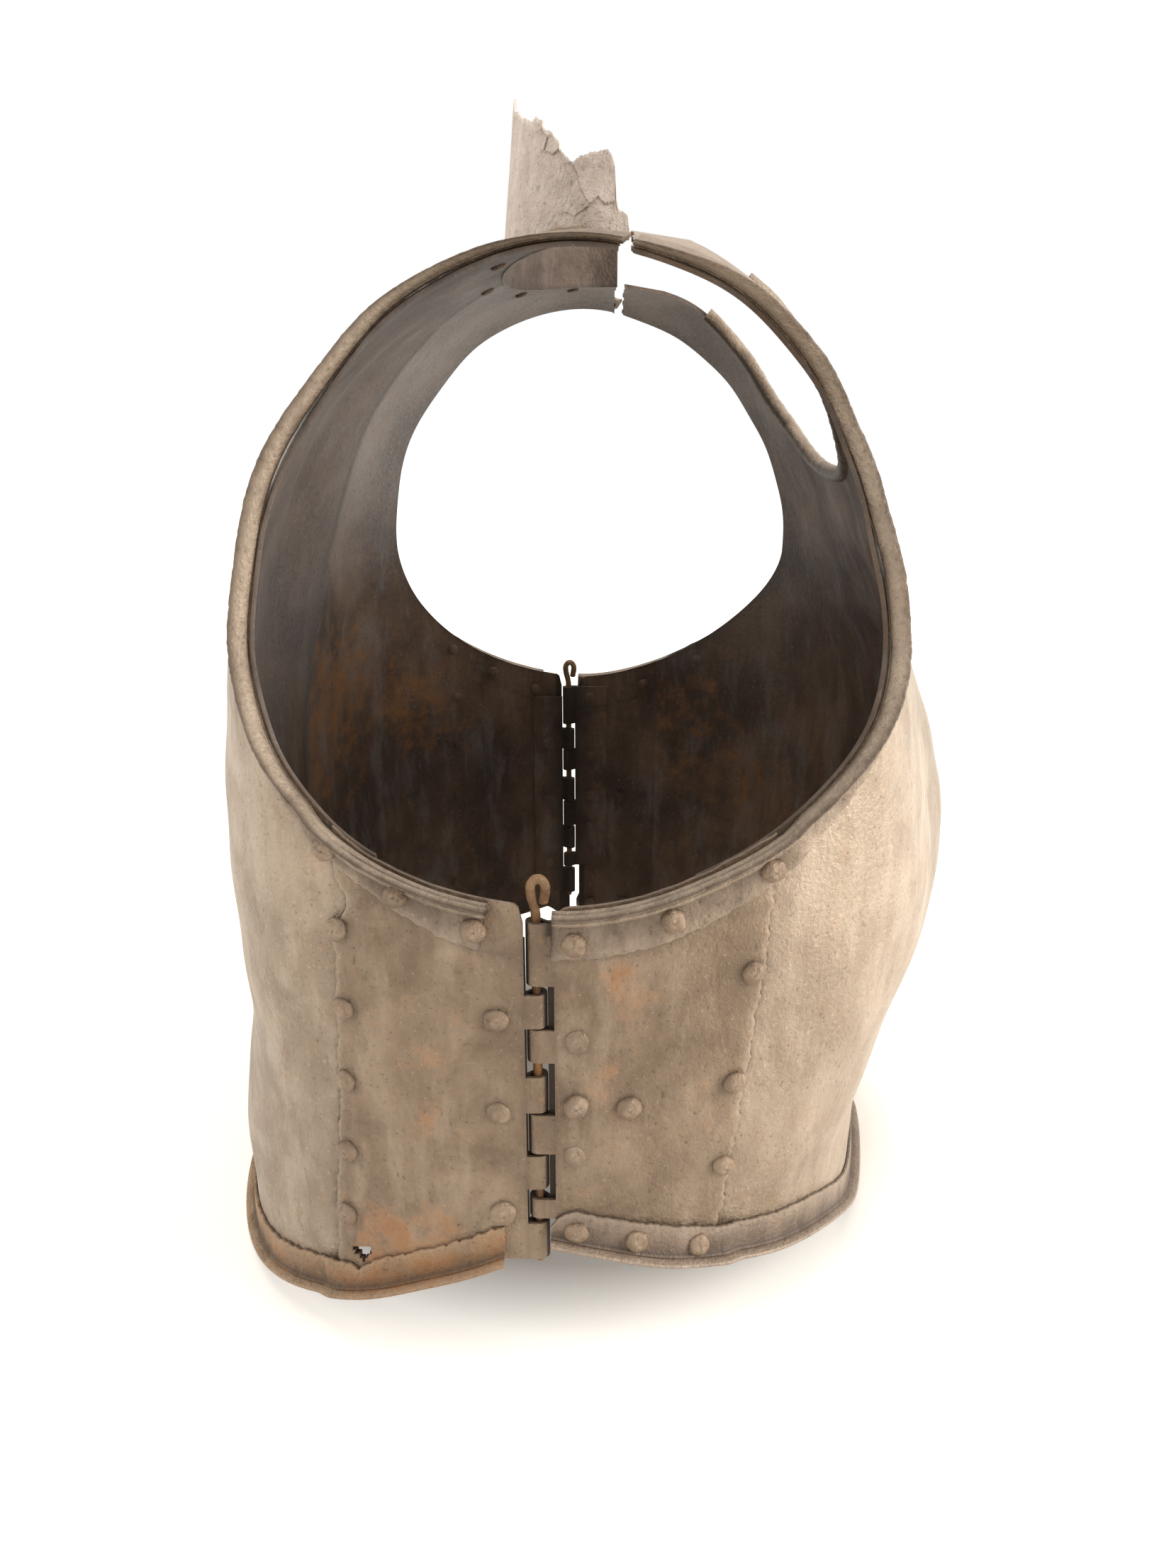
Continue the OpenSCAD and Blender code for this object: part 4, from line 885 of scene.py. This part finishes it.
def collar_face(depth):
    """The collar's wall at that depth inside its outer face. It leans in by a tenth of its height, bulges and
    dents, and its ends past the shoulders run on towards the front."""
    lean = COLLAR_IN + depth + 0.1 * np.maximum(z, 0) - bulge * np.clip(z / 15, 0, 1)
    past = np.stack([0 * t, 1.4 * np.maximum(np.abs(t) - 90, 0)], -1)
    xy = p[:, :2] - lean[..., None] * across - past
    return np.concatenate([xy, (p[:, 2] + z)[..., None]], -1)


# Cracks near its right end, as turns and heights, whose upper lip stands proud and which are painted as dark
# lines of shade
CRACKS = [[(-72.4, 23), (-75, 19.5), (-76.5, 15), (-79, 11), (-81, 9.5), (-84, 11.5), (-86.5, 9),
           (-89.5, 10)],
          [(-56.6, 36.4), (-60, 33), (-58.5, 29.5), (-63, 27), (-66.6, 28)],
          [(-70, 8), (-74, 6.2), (-79, 8.2), (-81, 9.5)]]


def crack(corners, t, z):
    """How far each place lies from a crack, in mm, and whether it lies above it: the nearest point on each of
    the crack's straight runs, and the nearest of those."""
    to_mm = np.array([NECK_HALF * np.pi / 180, 1])
    here = np.stack(np.broadcast_arrays(t, z), -1) * to_mm
    far, over = np.full(here.shape[:-1], 99.0), np.zeros(here.shape[:-1])
    for p, q in zip(np.array(corners) * to_mm, np.array(corners[1:]) * to_mm):
        share = np.clip(((here - p) * (q - p)).sum(-1) / ((q - p) ** 2).sum(), 0, 1)
        d = here - p - share[..., None] * (q - p)
        closer = np.linalg.norm(d, axis=-1) < far
        far = np.where(closer, np.linalg.norm(d, axis=-1), far)
        over = np.where(closer, d[..., 1] > 0, over)
    return far, over


gaps = [crack(corners, t, z) for corners in CRACKS]
bulge = bulge + sum(0.7 * over * np.exp(-far / 4) for far, over in gaps)
broken = 0.5 + 0.5 * ripple(2.9 * t, 1.7 * z, 4.3 * t + 2.1 * z)
crack_shade = np.max([np.exp(-(far / 0.4) ** 2) for far, over in gaps], axis=0) * broken
cells = np.ones((len(share) - 1, len(t) - 1), bool)
points, quads, side = shell(collar_face(0), collar_face(COLLAR_T), cells)
up = (share * np.ones(len(t))).ravel()
foot = 0.7 * np.clip(1 - up * 9, 0, 1)
collar = put("collar_sheet", "back", points, quads, [pale_collar, collar_inside_shade, pale_collar], which=side,
             dirt_and_shade=np.append(0.5 * np.maximum(foot, crack_shade.ravel()), foot),
             wear_and_sheen=np.tile(0.7 * (up > 0.97), 2))
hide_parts("back_collar")

# The waist strips
# A strip along each half's foot, creased and turned out to a lip on which the cuirass stands. The front one
# ends in a rounded tongue beside the hinge, the back one is cut square and has rusted most.
STRIP_W, LIP_OUT = 12.0, 5.6
# The breast's strip under a grey brown patina: dull, with little rust
front_strip = iron("rubbed_waist_strip", "#8b7868", "#a99988", "#6f5f51", "#987052", 0.55, mottle_mm=14.0,
                   rust_share=0.1, pit=0.5)
# The back's strip, rusted through its patina: rough and orange brown, with pale crumbs
rusted_strip = iron("rusted_waist_strip", "#9a8167", "#b89f83", "#775e47", "#a3744a", 0.7, mottle_mm=12.0,
                    rust_share=0.24, pit=0.9, metal=0.12)


def waist_strip(node, body, turns, s, w, metal, rusty):
    """A waist strip as a section of distance out from the plates and height over the lip's edge, carried
    round the waist: a flat band with a ragged top, a soft crease and a lip with a rounded edge. The places in
    the section that are rubbed are the lip's edge and the top, and those darkened with dirt and painted shade
    are the crease and the seam."""
    lip = skirt(turns)
    o = s + LIP_OUT
    t, c = STRIP_T, LIP_H
    section = [(s, c + w), (s, c + 0.5 * w), (s, c + 1.6), (s + 0.3, c + 0.2), (s + 1.6, c - 1.3),
               (o - 3.5, 0.3), (o - 1.2, 0), (o - 0.3, 0.25), (o + 0.1, 0.9), (o - 0.3, 1.6), (o - 1.4, 1.9),
               (o - 3.2, 2.1), (s + t + 1.4, c + 0.2), (s + t + 0.5, c + 1.0), (s + t, c + 2.2),
               (s + t + 0.15, c + 0.5 * w), (s + t, c + 0.8 * w), (s + t - 0.2, c + w - 0.1)]
    rings = []
    for off, high in section:
        p = skin(turns, lip + high)
        rings.append(p + (off + beaten(p))[:, None] * level_out(turns, lip + high))
    rings = np.stack(rings, 1)
    rub, shade_and_dirt = np.zeros(len(section)), np.zeros(len(section))
    rub[[8, 9, 10, 16, 17]] = [0.5, 0.8, 0.6, 0.4, 0.7]
    shade_and_dirt[[0, 12, 13, 14]] = [0.8, 0.5, 0.8, 0.4]
    made = put(f"{node}_strip", body, rings.reshape(-1, 3), swept(rings)[:, ::-1], [metal],
               rust=np.repeat(rusty + 0 * turns, len(section)), dirt_and_shade=np.tile(shade_and_dirt, len(turns)),
               wear_and_sheen=np.tile(rub, len(turns)))
    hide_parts(node)
    return made


# The front strip ends this far from the hinge plane, in a rounded tongue. The back one is cut square
TONGUE_Y, SQUARE_Y = -4.0, 12.5
end = place(TONGUE_Y, WAIST_Z)
turns = np.linspace(-end, end, 320)
y = skin(turns, WAIST_Z)[:, 1]
ragged = 0.5 * ripple(1.1 * turns, 2.9 * turns + 1, 6.1 * turns)
tongue = 4 * (1 - ease((TONGUE_Y - y) / 9)) + 5 * quarter(np.clip(1 - (TONGUE_Y - y) / 5, 0, 1))
made = waist_strip("front_waist_flange", "front", turns, seat(y, front_seam(55.0)),
                   STRIP_W - tongue + ragged, front_strip, 0.0)

end = place(SQUARE_Y, WAIST_Z)
turns = np.linspace(end, 360 - end, 360)
p = skin(turns, WAIST_Z)
y = p[:, 1]
ragged = 0.8 * ripple(1.3 * turns, 3.3 * turns + 1, 7.1 * turns) + 0.4 * ripple(11 * turns, 17 * turns)
notch = 3.5 * np.exp(-((y - EATEN[0]) / 3.5) ** 2) * (p[:, 0] < 0)
rusty = 0.45 * ease((95 - y) / 50) + 0.15
made = waist_strip("back_waist_flange", "back", turns, seat(y, back_seam(50.0)),
                   STRIP_W + ragged - notch, rusted_strip, rusty)

# The rivets
# Iron rivets with heads domed by hammer, no two alike, through side plates, borders and strips into the main
# plates. Their shanks end inside in small clenched buttons.
RIVET_R, RIVET_H, SHANK_R = 4.2, 2.6, 1.9
# Hammered heads under the plates' patina: finely mottled, a little duller, with paler crowns
rivet_metal = iron("hammered_rivet_iron", "#98836d", "#b5a28c", "#7f6b58", "#a6744c", 0.55, mottle_mm=7.0,
                   streak=0.15, rust_share=0.1, pit=0.6)
# Faces round a rivet, rings of its profile, and how many of them the clenched end and shank have
RIVET_SIDES, RIVET_RINGS, SHANK_RINGS = 24, 13, 5
# Heights of a side plate and of a strip over the form, and the depth of the leaf's inner face under it
PLATE_TOP = LAP_GAP + SIDE_T
STRIP_TOP = SEAT_HIGH + STRIP_T
LEAF_LOW = SIDE_X - LEAF_X + SIDE_T
rng = np.random.default_rng(7)


def rivet(centre, out, grip, size=1.0, flat=1.0):
    """One rivet as rings round its axis: a domed head whose outline and crown wander, a short shank and a
    clenched end. Returns its points and quads."""
    ring = np.arange(RIVET_SIDES) * 2 * np.pi / RIVET_SIDES
    profile = np.array([(0.02, -grip - 1.1), (2.2, -grip - 1.1), (2.9, -grip - 0.6), (2.7, -grip - 0.1),
                        (SHANK_R, -grip), (SHANK_R, -0.2), (RIVET_R, -0.2), (RIVET_R, 0.3),
                        (0.95 * RIVET_R, 0.42 * RIVET_H), (0.8 * RIVET_R, 0.7 * RIVET_H),
                        (0.55 * RIVET_R, 0.9 * RIVET_H), (0.28 * RIVET_R, 0.99 * RIVET_H), (0.02, RIVET_H)])
    head = (profile[:, 1] > -0.3)[:, None]
    lobes = 0.05 * np.sin(2 * ring + rng.uniform(0, 6)) + 0.035 * np.sin(5 * ring + rng.uniform(0, 6))
    r = profile[:, :1] * np.where(head, size * (1 + lobes), 1)
    tilt = 0.10 * np.cos(ring + rng.uniform(0, 6))
    h = profile[:, 1:] * np.where(head, flat * (1 + tilt + 0.05 * np.sin(3 * ring + rng.uniform(0, 6))), 1)
    u = unit(np.cross(out, [0, 0, 1.0]))
    sideways = np.cos(ring)[:, None] * u + np.sin(ring)[:, None] * np.cross(out, u)
    rings = centre + r[..., None] * sideways + h[..., None] * out
    return rings.reshape(-1, 3), swept(rings)[:, ::-1]


def rivet_row(node, body, places, h, low, right, sizes=None):
    """A row of rivets as one piece: places as turn and height, with the heads h over the form and the
    clenched ends low under it. Sizes gives each head's width and height."""
    a, z = (np.array(v, float) for v in zip(*places))
    centres, outs = proud(a, z, h), slopes(a, z)[2]
    sizes = sizes or [(1, 1)] * len(places)
    made = [rivet(centre, out, h + low, *size) for centre, out, size in zip(centres, outs, sizes)]
    count = np.cumsum([0] + [len(p) for p, q in made])
    points = np.concatenate([p for p, q in made])
    quads = np.concatenate([q + count[k] for k, (p, q) in enumerate(made)])
    rows = np.tile(np.repeat(np.arange(RIVET_RINGS), RIVET_SIDES), len(made))
    # The faces up to the shank, and the fan that closes the clenched end, but not the one on the crown
    band = np.repeat(np.arange(RIVET_RINGS - 1) < SHANK_RINGS, RIVET_SIDES)
    inside = np.tile(np.append(band, np.repeat([True, False], RIVET_SIDES // 2 - 1)), len(made))
    piece = put(f"{node}_heads", body, points, quads, [rivet_metal, scaled_inside], which=inside,
                dirt_and_shade=0.6 * (rows == 6) + 0.35 * (rows == 7), wear_and_sheen=0.35 * (rows > 10), right=right, crease=60)
    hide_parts(node)


# Widths and heights of the hinge rivets' heads, as shares of the usual ones. Some are hammered almost flat
HINGE_SIZES = {"back": [(1.0, 0.8), (1.0, 0.6), (1.15, 1.0)],
               "front": [(1.0, 0.45), (1.05, 1.1), (1.05, 1.1), (0.9, 0.3)]}
# Places of the borders' rivets: from the hinge plane, and down from the hole's edge
ARM_RIVETS = {"back": [(20, 11), (45, 8.6), (67.5, 8.9)],
              "front": [(-12.5, 12.5), (-44.5, 10.9), (-76, 11.1)]}
for right in (True, False):
    word = "right" if right else "left"
    for half in ("back", "front"):
        arm_at = [(y, arm_low_z(y) - down) for y, down in ARM_RIVETS[half]]
        for row, at, h, low, sizes in (("seam", SEAM_RIVETS[half], PLATE_TOP, PLATE_T, None),
                                       ("hinge", HINGE_RIVETS[half], PLATE_TOP, LEAF_LOW, HINGE_SIZES[half]),
                                       ("armhole", arm_at, STRIP_TOP, PLATE_T, None)):
            rivet_row(f"{half}_{row}_rivets_{word}", half, [(place(y, z), z) for y, z in at], h, low, right,
                      sizes)
# The strip's rivets follow the lower lip on the left
at = [(s * place(y, v), v) for s in (-1, 1) for y, z in [(-13, 57.5), (-34, 53), (-56, 47.5)]
      for v in [z + float(lip_front(y, SIDE_X, s > 0) - lip_front(y, SIDE_X, False))]]
rivet_row("front_waist_rivets", "front", at, STRIP_TOP, PLATE_T, False)
t = np.array([-0.9, -0.5, 0, 0.5, 0.9]) * NAPE_TURN
at = list(zip(*moved(*neck_edge(t, neck_back), -heading_of(t, neck_back), NAPE_W - 2.8)))
rivet_row("back_neck_rivets", "back", at, SEAT_LOW + STRIP_T, PLATE_T, False, [(0.6, 0.6)] * 5)

# The hinge pins
# Two pins of iron wire, which hold the halves together through their knuckles. Each is bent at its top into
# an open curl, by which it is pulled out.
PIN_R, PIN_LOW, WIRE_SIDES = 1.62, 42.0, 16
# Wire rusted all round: orange brown and dry
pin_metal = iron("rusted_wire", "#8a6a49", "#ac8e68", "#5e442d", "#a5713f", 0.62, mottle_mm=7.0,
                 rust_share=0.18, pit=0.6, metal=0.15)
# The curl: its middle, half width and half height, where its bend starts under it, and how far its end drops
LOOP_Y, LOOP_Z, LOOP_W, LOOP_H, LOOP_FOOT, LOOP_DROP = -0.8, 187.3, 2.45, 3.3, 10, 5.4


def wire_pin(word, right):
    """A round wire along a path: up through the knuckles, then round in a curl that stops short of itself."""
    straight = np.linspace(PIN_LOW, LOOP_Z - LOOP_FOOT, 30)
    rise = drop = np.linspace(0, 1, 12)[1:]
    turn = np.radians(np.linspace(180, 0, 30))[1:]
    y = np.concatenate([0 * straight, (LOOP_Y + LOOP_W) * ease(rise), LOOP_Y - LOOP_W * np.cos(turn),
                        LOOP_Y + LOOP_W * (-1 + 0.3 * ease(drop))])
    z = np.concatenate([straight, LOOP_Z - LOOP_FOOT + LOOP_FOOT * rise, LOOP_Z + LOOP_H * np.sin(turn),
                        LOOP_Z - LOOP_DROP * drop])
    path = np.stack([0 * y + KNUCKLE_X, y, z], -1)
    sideways = np.cross(unit(np.gradient(path, axis=0)), [1.0, 0, 0])
    ring = np.arange(WIRE_SIDES) * 2 * np.pi / WIRE_SIDES
    thick = PIN_R * (1 + 0.03 * ripple(0.9 * np.arange(len(y)), 0.37 * np.arange(len(y))))
    thick[-1] *= 0.6
    thick[0] *= 0.8
    rings = path[:, None] + thick[:, None, None] * (np.cos(ring)[:, None] * sideways[:, None]
                                                    + np.sin(ring)[:, None] * np.array([1.0, 0, 0]))
    made = put(f"{word}_wire_pin", f"{word}_pin", rings.reshape(-1, 3), swept(rings), [pin_metal],
               rust=np.repeat(0.5 * (z < LOOP_Z - 8), WIRE_SIDES),
               wear_and_sheen=np.repeat(0.4 * (z > LOOP_Z), WIRE_SIDES), right=right, crease=60)
    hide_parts(f"{word}_hinge_pin")


wire_pin("right", True)
wire_pin("left", False)

# The floor, the lamps and the camera
# A plain white sweep, which the camera sees as white while it still takes the shadow, and a soft high light
# from the wearer's front and above, as in a light tent.
FLOOR_R_M, FLOOR_SIDES = 6, 64


def looked_at(tree):
    """1 for rays that show the background, from the camera, in a gloss or through glass, else 0."""
    path = add(tree, "ShaderNodeLightPath").outputs
    seen = path["Is Camera Ray"]
    for ray in ("Is Glossy Ray", "Is Transmission Ray"):
        seen = add(tree, "ShaderNodeMath", {0: seen, 1: path[ray]}, operation="MAXIMUM").outputs[0]
    return seen


ring = np.arange(FLOOR_SIDES) * 2 * np.pi / FLOOR_SIDES
floor_mesh = bpy.data.meshes.new("floor")
floor_mesh.from_pydata(np.stack([FLOOR_R_M * np.cos(ring), FLOOR_R_M * np.sin(ring), 0 * ring], -1).tolist(),
                       [], [list(range(FLOOR_SIDES))])
floor = bpy.data.objects.new("floor", floor_mesh)
bpy.context.scene.collection.objects.link(floor)
# White paper. Its glow, which only lookers see, grows from the foot of the cuirass outwards, so that the
# shadow stays, and there is none inside the plates. The distances are in metres
white = bpy.data.materials.new("white_paper_sweep")
tree = bare_tree(white)
paper = add(tree, "ShaderNodeBsdfDiffuse", {"Color": paint("#f2efe9")}).outputs[0]
spot = add(tree, "ShaderNodeTexCoord").outputs["Object"]
away = add(tree, "ShaderNodeVectorMath", {0: spot}, operation="LENGTH").outputs["Value"]
level = add(tree, "ShaderNodeMapRange", {0: away, 1: 0.25, 2: 1.2, 3: 0.42, 4: 1.0}).outputs[0]
enclosed = add(tree, "ShaderNodeMapRange", {0: away, 1: 0.12, 2: 0.16}).outputs[0]
level = add(tree, "ShaderNodeMath", {0: level, 1: enclosed}, operation="MULTIPLY").outputs[0]
glow = add(tree, "ShaderNodeEmission", {"Color": paint("#fffdf8"), "Strength": level}).outputs[0]
both = add(tree, "ShaderNodeAddShader", {0: paper, 1: glow}).outputs[0]
shown = add(tree, "ShaderNodeMixShader", {0: looked_at(tree), 1: paper, 2: both}).outputs[0]
add(tree, "ShaderNodeOutputMaterial", {"Surface": shown})
floor_mesh.materials.append(white)

scene = bpy.context.scene
scene.view_settings.view_transform = "Standard"
sky = bpy.data.worlds.new("light_tent")
scene.world = sky
tree = bare_tree(sky)
level = add(tree, "ShaderNodeMapRange", {0: looked_at(tree), 3: 0.38, 4: 1.0}).outputs[0]
light = add(tree, "ShaderNodeBackground", {"Color": paint("#ffffff"), "Strength": level}).outputs[0]
add(tree, "ShaderNodeOutputWorld", {"Surface": light})


def lamp(name, place_m, size_m, watts):
    """A square soft lamp, a little warm, that faces the middle of the cuirass."""
    data = bpy.data.lights.new(name, "AREA")
    data.size, data.energy, data.color = size_m, watts, paint("#fff9f2")[:3]
    made = bpy.data.objects.new(name, data)
    aim = np.array([0, 0, MIDDLE_Z_M]) - place_m
    made.location = place_m
    made.rotation_mode = "QUATERNION"
    made.rotation_quaternion = Vector(aim.tolist()).to_track_quat("-Z", "Y")
    scene.collection.objects.link(made)


MIDDLE_Z_M = 0.2
lamp("front_softbox", (-0.4, -1.35, 0.65), 1.1, 27)
lamp("top_softbox", (0.1, 0.1, 1.6), 1.4, 12)
lamp("back_softbox", (-0.5, 1.3, 0.7), 1.0, 9)

# A phone's view from the wearer's right and a little above: the focal length and the frame's height in pixels
CAMERA_M = (-0.520, HINGE_Y * MM - 0.023, 0.338)
PITCH, YAW = np.radians(18), np.radians(0.95)
FOCAL_PX, FRAME_PX, SENSOR_MM = 1664, 2212, 36
camera = bpy.data.cameras.new("camera")
camera.lens, camera.sensor_width = FOCAL_PX / FRAME_PX * SENSOR_MM, SENSOR_MM
view = bpy.data.objects.new("camera", camera)
view.location = CAMERA_M
view.rotation_mode = "QUATERNION"
ahead = Vector((np.cos(PITCH) * np.cos(YAW), np.cos(PITCH) * np.sin(YAW), -np.sin(PITCH)))
view.rotation_quaternion = ahead.to_track_quat("-Z", "Y")
scene.collection.objects.link(view)
scene.camera = view
